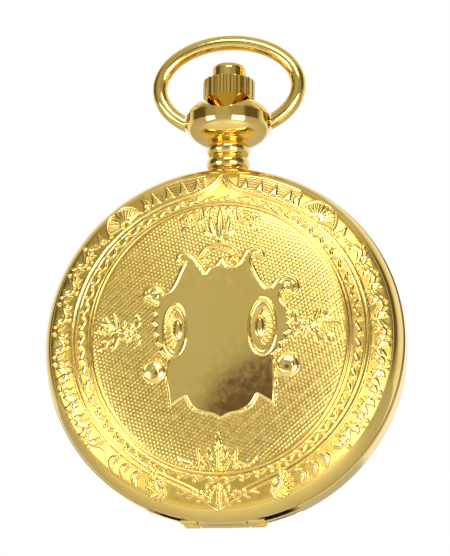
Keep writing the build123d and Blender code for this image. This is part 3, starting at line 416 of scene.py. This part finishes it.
def palmette(canvas):
    """Above the crest: a bud on a stem, curled volutes and leaves."""
    canvas.leaf(((0, 12.5), (0.05, 14.6), (0, 17.4)), 0.95, 0.4)
    for side in (-1, 1):
        canvas.leaf(((0, 12.9), (0.9 * side, 14.2), (1.3 * side, 16.2)), 0.7, 0.34)
        canvas.leaf(((0.2 * side, 13.1), (1.4 * side, 13.6), (2.2 * side, 14.6)), 0.55, 0.3)
        canvas.ridge(spiral((3.15 * side, 15.6), 1.05, 90 - 100 * side, 400 * side, 0.2), 0.38, 0.38)
        canvas.leaf(((3.7 * side, 15.9), (4.6 * side, 16.1), (5.4 * side, 15.4)), 0.5, 0.26)
        canvas.leaf(((2.1 * side, 16.0), (1.9 * side, 16.7), (2.4 * side, 17.1)), 0.5, 0.26)
        canvas.leaf(((3.9 * side, 14.8), (4.6 * side, 14.5), (5.0 * side, 13.8)), 0.42, 0.22)
        canvas.boss((1.0 * side, 17.0), 0.28, 0.26)
        canvas.boss((4.1 * side, 15.2), 0.2, 0.24)


def flower(canvas, centre, side):
    """A rosette with six petals, and a sprig that runs out toward the border."""
    def place(*points):
        return [(centre[0] + FLOWER_SIZE * side * a, centre[1] + FLOWER_SIZE * b) for a, b in points]

    for degrees in range(0, 360, 60):
        petal = (polar(0.15, degrees), polar(0.7, degrees + 8), polar(1.25, degrees + 20))
        canvas.leaf(place(*petal), 0.75 * FLOWER_SIZE, 0.36)
    canvas.boss(centre, 0.4, 0.44)
    for lift in (-1, 1):
        canvas.leaf(place((0.8, 0), (1.7, 0.7 * lift), (2.8, 1.0 * lift)), 0.7, 0.32)
        canvas.leaf(place((0.8, 0), (1.2, 1.3 * lift), (1.5, 2.1 * lift)), 0.65, 0.3)
        canvas.leaf(place((-0.9, 0.2 * lift), (-1.4, 1.0 * lift), (-1.1, 1.8 * lift)), 0.6, 0.28)
        canvas.leaf(place((1.9, 0.5 * lift), (2.3, 1.5 * lift), (2.9, 1.9 * lift)), 0.5, 0.26)
    canvas.ridge(place((0, 0), (1.8, 0), (3.2, 0.2)), 0.28, 0.28)
    for berry in place((1.9, 0.3), (2.5, 0.3), (3.1, 0.3)):
        canvas.boss(berry, 0.24, 0.32)


def bottom_fan(canvas):
    """Rising leaf spikes with curled feet, below the shield."""
    foot = (0.2, -18.6)
    canvas.ridge((foot, (0.2, -16.4), (0.2, -14.4)), 0.62, 0.4, taper=0.6)
    canvas.leaf(((0.2, -15.4), (0.15, -13.9), (0.05, -12.4)), 0.75, 0.28)
    for side in (-1, 1):
        canvas.ridge((foot, (1.0 * side, -16.9), (2.4 * side, -14.7)), 0.5, 0.36, taper=0.6)
        canvas.ridge(((2.4 * side, -14.7), (2.3 * side, -16.2), (2.9 * side, -17.1)), 0.32, 0.32)
        canvas.leaf(((0.7 * side, -15.9), (1.1 * side, -15.1), (1.0 * side, -14.3)), 0.5, 0.3)
        canvas.ridge(spiral((2.6 * side, -16.9), 0.75, -60 + 120 * (side < 0), 330 * side, 0.2), 0.3, 0.32)
        canvas.leaf(((3.2 * side, -16.4), (4.2 * side, -16.2), (5.2 * side, -15.4)), 0.55, 0.24)
        canvas.boss((3.9 * side, -16.9), 0.28, 0.26)


def front_field(canvas):
    weave(canvas)
    canvas.move(*CARTOUCHE_SHIFT)
    cartouche(canvas)
    canvas.move(-CARTOUCHE_SHIFT[0], -CARTOUCHE_SHIFT[1])
    crest(canvas)
    palmette(canvas)
    for centre, side in FLOWERS:
        flower(canvas, centre, side)
    bottom_fan(canvas)
    edge = ellipse_radius(canvas.theta, FIELD_SEMI) - canvas.rho
    canvas.height *= ease(edge / FADE)


# ---- The border, used on both covers -------------------------------------------------------------
OGEE_RADIUS = 19.35              # the frame line, away from its two points
VINE_RADIUS = 20.9
WAVE_COUNT = 58                  # the wave line's waves, each with a dot outside it
RIM_LINE = 22.25


def ogee(offset, top=2.7, bottom=3.0):
    """A near-round frame line that is drawn up to a point at twelve and at six o'clock."""
    def radius(theta):
        turned = (theta + 180) % 360 - 180
        high = top * np.exp(-np.abs(turned - 90) / 4.2)
        low = bottom * np.exp(-np.abs(turned + 90) / 8.5)
        return OGEE_RADIUS + offset + (high + low) * (1 + 0.1 * offset)
    return radius


def field_line(offset):
    return lambda theta: ellipse_radius(theta, (FIELD_SEMI[0] + offset, FIELD_SEMI[1] + offset))


def wave_line(theta):
    return ellipse_radius(theta, (17.95, 18.35)) + 0.2 * np.sin(np.radians(theta) * WAVE_COUNT)


def frame_lines(canvas):
    canvas.loop(field_line(0.14), 0.36, 0.24)
    canvas.loop(field_line(0.6), 0.22, 0.16)
    canvas.loop(wave_line, 0.3, 0.22)
    canvas.loop(ogee(-0.55), 0.26, 0.18)
    canvas.loop(ogee(0), 0.36, 0.26)
    for degrees in np.arange(0, 360, 360 / WAVE_COUNT):
        canvas.boss(polar(wave_line(degrees) + 0.42, degrees), 0.16, 0.16)


def vine(canvas, start, end, period=10.5):
    """A waving stem with a leaf and a berry at each turn, from one bearing to another."""
    swing = np.linspace(start, end, 40)
    stem = VINE_RADIUS + 0.45 * np.sin(np.radians(swing - start) * 360 / period)
    canvas.ridge(polar(stem, swing), 0.26, 0.2)
    for k, degrees in enumerate(np.arange(start + period / 4, end - 1, period / 2)):
        way = 1 if k % 2 else -1

        def beside(offset, turn):
            return polar(VINE_RADIUS + offset * way, degrees + turn)

        canvas.leaf((beside(-0.4, 0), beside(0.35, 1.6), beside(0.95, 0.6)), 0.85, 0.3)
        canvas.leaf((beside(-0.4, 0), beside(0.1, -1.8), beside(0.7, -3.0)), 0.6, 0.24)
        canvas.boss(beside(-0.95, 0.6), 0.24, 0.24)
        canvas.ridge((beside(0.6, 3), beside(1.05, 3.6)), 0.2, 0.18)


def corner_fan(canvas, degrees, radius=2.5, ribs=11):
    """A half-round ribbed fan that stands on the frame line."""
    centre = polar(19.75, degrees)
    for share in np.linspace(-80, 80, ribs):
        inner = polar(0.7, degrees + share, centre)
        outer = polar(radius - 0.35, degrees + share, centre)
        canvas.ridge((inner, outer), 0.3, 0.26)
    for size, width, height in ((radius, 0.34, 0.3), (0.55, 0.3, 0.26)):
        canvas.ridge(arc(centre, size, degrees - 88, degrees + 88), width, height)
    for side in (-1, 1):
        foot = polar(19.9, degrees + side * 9)
        canvas.leaf((foot, polar(20.6, degrees + side * 10.5), polar(21.7, degrees + side * 9.5)), 0.8, 0.28)


def ladders(canvas, start, end, teeth=4):
    """Pointed teeth on a ground of fine rungs, beside the top point."""
    for rung in np.arange(20.2, 22.3, 0.36):
        canvas.ridge(arc((0, 0), rung, start, end, 24), 0.2, 0.09)
    step = (end - start) / teeth
    for degrees in start + step * (np.arange(teeth) + 0.5):
        spread = abs(step) * 0.36
        canvas.plateau([polar(19.85, degrees - spread), polar(19.85, degrees + spread),
                        polar(22.0, degrees)], 0.2, 0.25, 0.5)


def shell_palmette(canvas, degrees, side, ribs=9):
    """A ribbed shell that curls beside the bottom point."""
    root = polar(20.1, degrees)
    for k, share in enumerate(np.linspace(-35, 115, ribs)):
        way = degrees + side * share
        length = 2.3 - 0.06 * k
        bend = polar(length * 0.6, way, root)
        tip = polar(length, way + 22 * side, root)
        canvas.ridge((polar(0.5, way, root), bend, tip), 0.36, 0.3, taper=0.3)
        canvas.boss(tip, 0.22, 0.3)
    canvas.boss(root, 0.45, 0.34)


def bottom_rays(canvas):
    """Short rays inside the bottom point."""
    for share in np.linspace(-14, 14, 9):
        foot = polar(19.9, -90 + share * 0.6)
        tip = polar(21.9 - abs(share) * 0.09, -90 + share)
        canvas.ridge((foot, tip), 0.24, 0.2)
    canvas.ridge((polar(19.0, -89.3), polar(22.2, -89.6)), 0.34, 0.3)
    for side in (-1, 1):
        canvas.ridge(arc((0.9 * side, -19.3), 0.5, 0, 360), 0.22, 0.2)


def border(canvas):
    frame_lines(canvas)
    for side in (-1, 1):
        def bearing(degrees):
            return degrees if side > 0 else 180 - degrees
        low, high = sorted((bearing(-44), bearing(38)))
        vine(canvas, low, high)
        corner_fan(canvas, bearing(51))
        ladders(canvas, bearing(62), bearing(84))
        shell_palmette(canvas, bearing(-69), side)
        for degrees in (-50, -55, -60):
            canvas.leaf((polar(19.9, bearing(degrees)), polar(20.9, bearing(degrees + 1.5)),
                         polar(21.9, bearing(degrees - 1))), 0.9, 0.26)
    bottom_rays(canvas)
    canvas.loop(lambda theta: RIM_LINE + 0 * theta, 0.2, 0.1)


# ---- Ornament for the back cover -----------------------------------------------------------------
def back_field(canvas):
    """Engine turning: crossed spiral waves round a plain polished roundel."""
    waves = 48
    turn = np.radians(canvas.theta)
    swirl = 2.4 * np.log(np.maximum(canvas.rho, 1.0))
    left = np.cos(waves / 2 * (turn + swirl * 0.5))
    right = np.cos(waves / 2 * (turn - swirl * 0.5))
    canvas.height += 0.07 * np.abs(left * right) ** 0.6
    canvas.lift(slice(None), 0.1 * ease((5.9 - canvas.rho) / 0.3), 1.0)
    canvas.loop(lambda theta: 6.2 + 0 * theta, 0.4, 0.22)
    for degrees in range(0, 360, 15):
        canvas.leaf((polar(6.6, degrees), polar(7.4, degrees + 2), polar(8.4, degrees)), 0.9, 0.24)
    edge = ellipse_radius(canvas.theta, FIELD_SEMI) - canvas.rho
    canvas.height *= ease(edge / FADE)


# ---- Materials -----------------------------------------------------------------------------------
class Shader:
    """A node material being built: a Principled surface and short ways to add nodes."""

    def __init__(self, name, colour, metallic, roughness):
        self.material = bpy.data.materials.new(name)
        self.material.use_nodes = True
        self.tree = self.material.node_tree
        self.surface = self.tree.nodes["Principled BSDF"]
        self.surface.inputs["Base Color"].default_value = (*colour, 1)
        self.surface.inputs["Metallic"].default_value = metallic
        self.surface.inputs["Roughness"].default_value = roughness
        self.place = self.node("ShaderNodeTexCoord").outputs["Object"]

    def node(self, kind, **inputs):
        made = self.tree.nodes.new(kind)
        for label, value in inputs.items():
            made.inputs[label.replace("_", " ")].default_value = value
        return made

    def link(self, source, target):
        self.tree.links.new(source, target)

    def noise(self, scale, detail=4.0, stretch=(1, 1, 1)):
        mapping = self.node("ShaderNodeMapping", Scale=stretch)
        self.link(self.place, mapping.inputs["Vector"])
        made = self.node("ShaderNodeTexNoise", Scale=scale, Detail=detail)
        self.link(mapping.outputs["Vector"], made.inputs["Vector"])
        return made.outputs["Fac"]

    def attribute(self, label):
        made = self.node("ShaderNodeAttribute")
        made.attribute_name = label
        return made.outputs["Fac"]

    def span(self, source, low, high, to_low, to_high):
        made = self.node("ShaderNodeMapRange", From_Min=low, From_Max=high, To_Min=to_low, To_Max=to_high)
        self.link(source, made.inputs["Value"])
        return made.outputs["Result"]

    def math(self, operation, a, b):
        made = self.node("ShaderNodeMath")
        made.operation = operation
        for socket, value in zip(made.inputs, (a, b)):
            if isinstance(value, (int, float)):
                socket.default_value = value
            else:
                self.link(value, socket)
        return made.outputs["Value"]

    def mix(self, factor, dark, light):
        """Blends two colours, or a made colour and a plain one, by a factor."""
        made = self.node("ShaderNodeMix")
        made.data_type = "RGBA"
        self.link(factor, made.inputs["Factor"])
        for label, colour in (("A", dark), ("B", light)):
            socket = [s for s in made.inputs if s.name == label and s.type == "RGBA"][0]
            if isinstance(colour, tuple):
                socket.default_value = (*colour, 1)
            else:
                self.link(colour, socket)
        return [s for s in made.outputs if s.type == "RGBA"][0]

    def colour(self, source):
        self.link(source, self.surface.inputs["Base Color"])

    def roughness(self, source):
        self.link(source, self.surface.inputs["Roughness"])

    def bump(self, source, distance, strength=1.0):
        made = self.node("ShaderNodeBump", Strength=strength, Distance=distance)
        self.link(source, made.inputs["Height"])
        self.link(made.outputs["Normal"], self.surface.inputs["Normal"])


DIAL_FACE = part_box("dial")[0].y  # the tops of the raised hour marks
MARK_HEIGHT = 0.00012
GOLD = (0.93, 0.66, 0.17)
GOLD_DEEP = (0.72, 0.48, 0.10)
GOLD_PALE = (0.97, 0.75, 0.28)


HAIRLINE = 0.00002               # the depth of fine grain in polished metal and enamel


def polished_gold():
    """Bright plate with faint tone changes, hairlines and slightly uneven gloss."""
    gold = Shader("polished_gold", GOLD, 1.0, 0.14)
    gold.colour(gold.mix(gold.noise(120, 3), GOLD_DEEP, GOLD_PALE))
    gold.roughness(gold.span(gold.noise(700, 6), 0.3, 0.7, 0.05, 0.12))
    gold.bump(gold.noise(2600, 5, (1, 1, 0.15)), HAIRLINE, 0.25)
    return gold.material


def stamped_gold():
    """The covers' relief: painted shade darkens the recesses and a painted highlight makes the raised tops
    paler, with satin recesses and polished tops.
    """
    gold = Shader("stamped_gold", GOLD, 1.0, 0.25)
    # Colour follows relief height: painted shade in the low places, painted highlight on the raised tops.
    high = gold.span(gold.attribute("relief"), 0.0, 0.06, 0.0, 1.0)
    painted_recess_shade_and_highlight = gold.mix(high, GOLD_DEEP, GOLD_PALE)
    gold.colour(gold.mix(gold.span(gold.noise(90, 4), 0.35, 0.65, 0.0, 0.5), painted_recess_shade_and_highlight, GOLD))
    satin = gold.span(gold.noise(1200, 5), 0.3, 0.7, 0.2, 0.32)
    shine = gold.math("MULTIPLY", gold.attribute("shine"), 0.16)
    gold.roughness(gold.math("SUBTRACT", satin, shine))
    gold.bump(gold.noise(3000, 4), HAIRLINE, 0.1)
    return gold.material


def turned_metal(name, light, dark, roughness, stretch=(1, 1, 1), scale=900):
    """Metal with a fine grain: turned, brushed or drawn, by how the noise is stretched."""
    metal = Shader(name, light, 1.0, roughness)
    grain = metal.noise(scale, 6, stretch)
    metal.colour(metal.mix(grain, dark, light))
    metal.roughness(metal.span(grain, 0.3, 0.7, roughness * 0.8, roughness * 1.3))
    metal.bump(grain, HAIRLINE, 0.3)
    return metal.material


def striped_plate():
    """Gilt bridges with broad parallel stripes."""
    plate = Shader("striped_gilt", (0.82, 0.68, 0.38), 1.0, 0.3)
    wave = plate.node("ShaderNodeTexWave", Scale=110.0, Distortion=0.15)
    wave.bands_direction = "DIAGONAL"
    plate.link(plate.place, wave.inputs["Vector"])
    plate.colour(plate.mix(wave.outputs["Fac"], (0.70, 0.55, 0.28), (0.88, 0.75, 0.45)))
    plate.roughness(plate.span(wave.outputs["Fac"], 0, 1, 0.22, 0.4))
    plate.bump(wave.outputs["Fac"], 0.00004, 0.4)
    return plate.material


def pearled_plate():
    """Gilt plate with small overlapping ground circles."""
    plate = Shader("pearled_gilt", (0.80, 0.66, 0.36), 1.0, 0.35)
    cells = plate.node("ShaderNodeTexVoronoi", Scale=900.0, Randomness=0.1)
    plate.link(plate.place, cells.inputs["Vector"])
    rings = plate.math("SINE", plate.math("MULTIPLY", cells.outputs["Distance"], 18.0), 0.0)
    plate.colour(plate.mix(plate.span(rings, -1, 1, 0, 1), (0.68, 0.54, 0.28), (0.86, 0.73, 0.42)))
    plate.roughness(plate.span(rings, -1, 1, 0.25, 0.42))
    plate.bump(rings, 0.00003, 0.3)
    return plate.material


def enamel(name, colour, shade):
    """Fired enamel: glossy, with a faintly uneven tone and surface."""
    glaze = Shader(name, colour, 0.0, 0.12)
    glaze.colour(glaze.mix(glaze.noise(160, 3), shade, colour))
    glaze.roughness(glaze.span(glaze.noise(500, 3), 0.3, 0.7, 0.08, 0.18))
    glaze.bump(glaze.noise(300, 2), HAIRLINE, 0.2)
    glaze.surface.inputs["Coat Weight"].default_value = 0.4
    return glaze.material


def printed_dial():
    """White enamel, with the raised hour marks in dark lacquer."""
    dial = Shader("printed_dial", (0.90, 0.89, 0.84), 0.0, 0.12)
    split = dial.node("ShaderNodeSeparateXYZ")
    dial.link(dial.place, split.inputs["Vector"])
    mark = dial.math("LESS_THAN", split.outputs["Y"], DIAL_FACE + MARK_HEIGHT / 2)
    white = dial.mix(dial.noise(160, 3), (0.86, 0.84, 0.78), (0.90, 0.89, 0.84))
    dial.colour(dial.mix(mark, white, (0.02, 0.02, 0.03)))
    dial.roughness(dial.span(dial.noise(500, 3), 0.3, 0.7, 0.08, 0.18))
    dial.surface.inputs["Coat Weight"].default_value = 0.4
    return dial.material


def ruby():
    stone = Shader("ruby", (0.55, 0.02, 0.10), 0.0, 0.06)
    stone.colour(stone.mix(stone.noise(1500, 2), (0.40, 0.01, 0.06), (0.68, 0.04, 0.16)))
    stone.roughness(stone.span(stone.noise(900, 2), 0.3, 0.7, 0.03, 0.1))
    stone.surface.inputs["Transmission Weight"].default_value = 0.35
    stone.surface.inputs["IOR"].default_value = 1.77
    return stone.material


def glass():
    """Clear crystal with a trace of wiping marks."""
    clear = Shader("watch_glass", (1.0, 1.0, 1.0), 0.0, 0.02)
    clear.roughness(clear.span(clear.noise(400, 5, (1, 1, 0.3)), 0.4, 0.8, 0.0, 0.05))
    clear.surface.inputs["Transmission Weight"].default_value = 1.0
    clear.surface.inputs["IOR"].default_value = 1.46
    return clear.material


def dress(materials, groups):
    """Gives each CAD node its material."""
    for label, names in groups.items():
        for name in names.split():
            slots = NODES[name].data.materials
            slots.clear()
            slots.append(materials[label])


materials = {
    "gold": polished_gold(),
    "stamped": stamped_gold(),
    "steel": turned_metal("polished_steel", (0.72, 0.73, 0.74), (0.55, 0.56, 0.58), 0.2),
    "spring": turned_metal("spring_steel", (0.52, 0.53, 0.56), (0.38, 0.39, 0.42), 0.28, (1, 1, 0.1)),
    "blued": turned_metal("blued_steel", (0.05, 0.10, 0.42), (0.03, 0.05, 0.25), 0.16),
    "brass": turned_metal("wheel_brass", (0.86, 0.66, 0.26), (0.72, 0.52, 0.18), 0.24),
    "pins": turned_metal("pin_gold", (0.95, 0.72, 0.24), (0.82, 0.58, 0.16), 0.16, (0.1, 1, 1)),
    "striped": striped_plate(),
    "pearled": pearled_plate(),
    "ruby": ruby(),
    "glass": glass(),
    "enamel": printed_dial(),
    "ink": enamel("dial_ink", (0.02, 0.02, 0.025), (0.035, 0.035, 0.04)),
}

dress(materials, {
    "gold": "front_cover back_cover case_middle bezel cuvette_ring pendant bow crown release_button",
    "pins": "hinge_pins",
    "glass": "crystal cuvette_glass",
    "spring": "latch_spring lift_spring click_spring mainspring",
    "steel": "stem_sleeve winding_stem winding_pinion sliding_pinion setting_lever yoke crown_wheel "
             "ratchet_wheel click barrel_arbor center_pinion third_pinion fourth_pinion escape_pinion "
             "escape_wheel pallet_fork balance_staff cannon_pinion setting_wheel intermediate_wheel",
    "blued": "movement_screws ratchet_screw winding_screws regulator hairspring hour_hand minute_hand "
             "second_hand",
    "brass": "barrel barrel_lid center_wheel third_wheel fourth_wheel balance_wheel minute_wheel hour_wheel",
    "striped": "barrel_bridge train_bridge balance_cock pallet_cock",
    "pearled": "main_plate",
    "ruby": "jewels pallet_stones",
    "enamel": "dial",
})


# ---- The dial's printing -------------------------------------------------------------------------
PRINT_DEPTH = DIAL_FACE + MARK_HEIGHT
PRINT = 0.00002                  # the ink's thickness
SECONDS_CENTRE = (0.0, -9.0)
NUMERAL_RADIUS, NUMERAL_SIZE = 11.6, 2.9


def add_piece(name, points, faces, body, material):
    mesh = bpy.data.meshes.new(name)
    mesh.from_pydata(points, [], faces)
    mesh.materials.append(material)
    piece = bpy.data.objects.new(name, mesh)
    bpy.context.scene.collection.objects.link(piece)
    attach(piece, body)
    return piece


def tick_track(name, centre, inner, outer, count, wide_every, width):
    """A ring of printed ticks. Every wide_every-th is twice as broad."""
    points, faces = [], []
    for k in range(count):
        half = width * (1.0 if k % wide_every == 0 else 0.5)
        along = Vector((math.sin(2 * math.pi * k / count), math.cos(2 * math.pi * k / count)))
        across = Vector((along.y, -along.x)) * half
        base = len(points)
        for depth in (PRINT_DEPTH - PRINT, PRINT_DEPTH + PRINT):
            for radius, side in ((inner, -1), (inner, 1), (outer, 1), (outer, -1)):
                x, z = Vector(centre) + along * radius + across * side
                points.append((x * MM, depth, z * MM))
        faces.append((base, base + 1, base + 2, base + 3))
        faces.append((base + 7, base + 6, base + 5, base + 4))
        for i in range(4):
            j = (i + 1) % 4
            faces.append((base + j, base + i, base + 4 + i, base + 4 + j))
    return add_piece(name, points, faces, "case", materials["ink"])


def numeral(hour, radius, size):
    """One plain dial number, as a thin solid."""
    text = bpy.data.curves.new(f"numeral_{hour}_text", "FONT")
    text.body = str(hour)
    text.align_x, text.align_y = "CENTER", "CENTER"
    text.size = size * MM
    text.extrude = PRINT
    maker = bpy.data.objects.new("numeral_maker", text)
    bpy.context.scene.collection.objects.link(maker)
    bpy.context.view_layer.update()
    mesh = bpy.data.meshes.new_from_object(maker.evaluated_get(bpy.context.evaluated_depsgraph_get()))
    bpy.data.objects.remove(maker)
    angle = math.radians(30 * hour)
    centre = Vector((radius * math.sin(angle) * MM, PRINT_DEPTH, radius * math.cos(angle) * MM))
    for vertex in mesh.vertices:
        x, y, z = vertex.co
        vertex.co = centre + Vector((x, -z, y))
    mesh.materials.append(materials["ink"])
    piece = bpy.data.objects.new(f"numeral_{hour}", mesh)
    bpy.context.scene.collection.objects.link(piece)
    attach(piece, "case")


# The seconds dial takes the place of the six.
for hour in (12, 1, 2, 3, 4, 5, 7, 8, 9, 10, 11):
    numeral(hour, NUMERAL_RADIUS, NUMERAL_SIZE)
tick_track("minute_track", (0, 0), 16.6, 17.4, 60, 5, 0.16)
tick_track("seconds_track", SECONDS_CENTRE, 3.3, 3.8, 60, 5, 0.08)


# ---- Relief of the covers ------------------------------------------------------------------------
field_shell("front_field", FRONT, front_field, "front_cover_body", materials["stamped"])
border_shell("front_border", FRONT, border, "front_cover_body", materials["stamped"])
field_shell("back_field", BACK, back_field, "back_cover_body", materials["stamped"], pitch=0.11)
border_shell("back_border", BACK, border, "back_cover_body", materials["stamped"])


# ---- Floor, light and camera ---------------------------------------------------------------------
def direction(azimuth, elevation):
    """The way out from the watch toward a bearing: azimuth 0 is the dial's side, 90 is +X."""
    a, e = math.radians(azimuth), math.radians(elevation)
    return Vector((math.sin(a) * math.cos(e), -math.cos(a) * math.cos(e), math.sin(e)))


def pale_floor(level=-0.26, half=3.0):
    mesh = bpy.data.meshes.new("floor")
    mesh.from_pydata([(-half, -half, level), (half, -half, level), (half, half, level), (-half, half, level)],
                     [], [(0, 1, 2, 3)])
    paper = Shader("pale_paper", (0.86, 0.86, 0.85), 0.0, 0.8)
    paper.colour(paper.mix(paper.noise(3, 2), (0.84, 0.84, 0.83), (0.88, 0.88, 0.87)))
    mesh.materials.append(paper.material)
    floor = bpy.data.objects.new("floor", mesh)
    bpy.context.scene.collection.objects.link(floor)


def studio_world(ground, patches):
    """A white backdrop to the camera. Reflections see a soft room: patches of light or shade, laid one
    over another. Each has a bearing, its outer and inner edge in degrees from there, and a colour."""
    world = bpy.data.worlds.new("studio")
    bpy.context.scene.world = world
    world.use_nodes = True
    tree = world.node_tree
    nodes, links = tree.nodes, tree.links
    room = nodes["Background"]
    way = nodes.new("ShaderNodeTexCoord").outputs["Generated"]
    colour = None
    for bearing, outer, inner, tone in patches:
        dot = nodes.new("ShaderNodeVectorMath")
        dot.operation = "DOT_PRODUCT"
        dot.inputs[1].default_value = direction(*bearing)
        links.new(way, dot.inputs[0])
        edge = nodes.new("ShaderNodeMapRange")
        edge.interpolation_type = "SMOOTHSTEP"
        edge.inputs["From Min"].default_value = math.cos(math.radians(outer))
        edge.inputs["From Max"].default_value = math.cos(math.radians(inner))
        links.new(dot.outputs["Value"], edge.inputs["Value"])
        over = nodes.new("ShaderNodeMix")
        over.data_type = "RGBA"
        links.new(edge.outputs["Result"], over.inputs["Factor"])
        base, top = [s for s in over.inputs if s.type == "RGBA"]
        if colour is None:
            base.default_value = (*ground, 1)
        else:
            links.new(colour, base)
        top.default_value = (*tone, 1)
        colour = [s for s in over.outputs if s.type == "RGBA"][0]
    links.new(colour, room.inputs["Color"])
    backdrop = nodes.new("ShaderNodeBackground")
    backdrop.inputs["Color"].default_value = (1, 1, 1, 1)
    chosen = nodes.new("ShaderNodeMixShader")
    links.new(nodes.new("ShaderNodeLightPath").outputs["Is Camera Ray"], chosen.inputs["Fac"])
    links.new(room.outputs["Background"], chosen.inputs[1])
    links.new(backdrop.outputs["Background"], chosen.inputs[2])
    links.new(chosen.outputs["Shader"], nodes["World Output"].inputs["Surface"])


def softbox(name, bearing, distance, size, brightness):
    """A square area light that faces the watch. brightness is what its reflection shows."""
    lamp = bpy.data.lights.new(name, "AREA")
    lamp.shape = "RECTANGLE"
    lamp.size, lamp.size_y = size
    lamp.energy = brightness * math.pi * size[0] * size[1]
    holder = bpy.data.objects.new(name, lamp)
    holder.location = WATCH_MIDDLE + direction(*bearing) * distance
    holder.rotation_mode = "QUATERNION"
    holder.rotation_quaternion = direction(*bearing).to_track_quat("Z", "Y")
    holder.visible_camera = False
    bpy.context.scene.collection.objects.link(holder)


VIEW = (9.0, -14.0)              # the camera's azimuth and elevation
FRAME_HEIGHT = 0.0718            # what the picture takes in, top to bottom
ROLL = math.radians(0.6)         # the watch leans this far to the right
LENS, SENSOR = 200.0, 36.0
WATCH_MIDDLE = (CAD_BOX[0] + CAD_BOX[1]) / 2
COVER_RIM = Vector((0, -0.0082, 0))     # the middle of the front cover's widest circle
AIM_RIGHT, AIM_UP = 0.0002, 0.0085      # the picture's middle, from there


def add_camera():
    data = bpy.data.cameras.new("camera")
    data.lens, data.sensor_width = LENS, SENSOR
    camera = bpy.data.objects.new("camera", data)
    bpy.context.scene.collection.objects.link(camera)
    back = direction(*VIEW)
    turn = (-back).to_track_quat("-Z", "Y") @ Quaternion((0, 0, 1), ROLL)
    aim = COVER_RIM + turn @ Vector((AIM_RIGHT, AIM_UP, 0))
    camera.location = aim + back * FRAME_HEIGHT * LENS / SENSOR
    camera.rotation_mode = "QUATERNION"
    camera.rotation_quaternion = turn
    data.clip_start = 0.01
    bpy.context.scene.camera = camera


ROOM_TONE = (0.40, 0.385, 0.29)
ROOM_PATCHES = (
    ((180, 0), 95, 55, (1.05, 1.03, 1.0)),           # bright behind the watch
    ((0, 80), 50, 25, (0.60, 0.58, 0.48)),           # the ceiling
    ((75, 25), 28, 16, (0.14, 0.11, 0.07)),          # a dark flag on each side
    ((-80, 20), 28, 16, (0.12, 0.10, 0.06)),
    ((-9, 16), 24, 12, (0.52, 0.50, 0.38)),          # the wall that the shield mirrors
    ((-2.5, 2.5), 9.0, 7.6, (0.15, 0.10, 0.085)),    # the dark spot low on the shield
)
LAMP_DISTANCE, LAMP_BRIGHTNESS = 0.5, 4.5
LAMPS = (
    ("left_lamp", (-42, -8), (0.22, 0.20)),
    ("right_lamp", (36, -11), (0.30, 0.26)),
    ("upper_lamp", (8, 36), (0.30, 0.17)),
)

pale_floor()
studio_world(ROOM_TONE, ROOM_PATCHES)
for name, bearing, size in LAMPS:
    softbox(name, bearing, LAMP_DISTANCE, size, LAMP_BRIGHTNESS)
add_camera()
bpy.context.scene.view_settings.view_transform = "Standard"
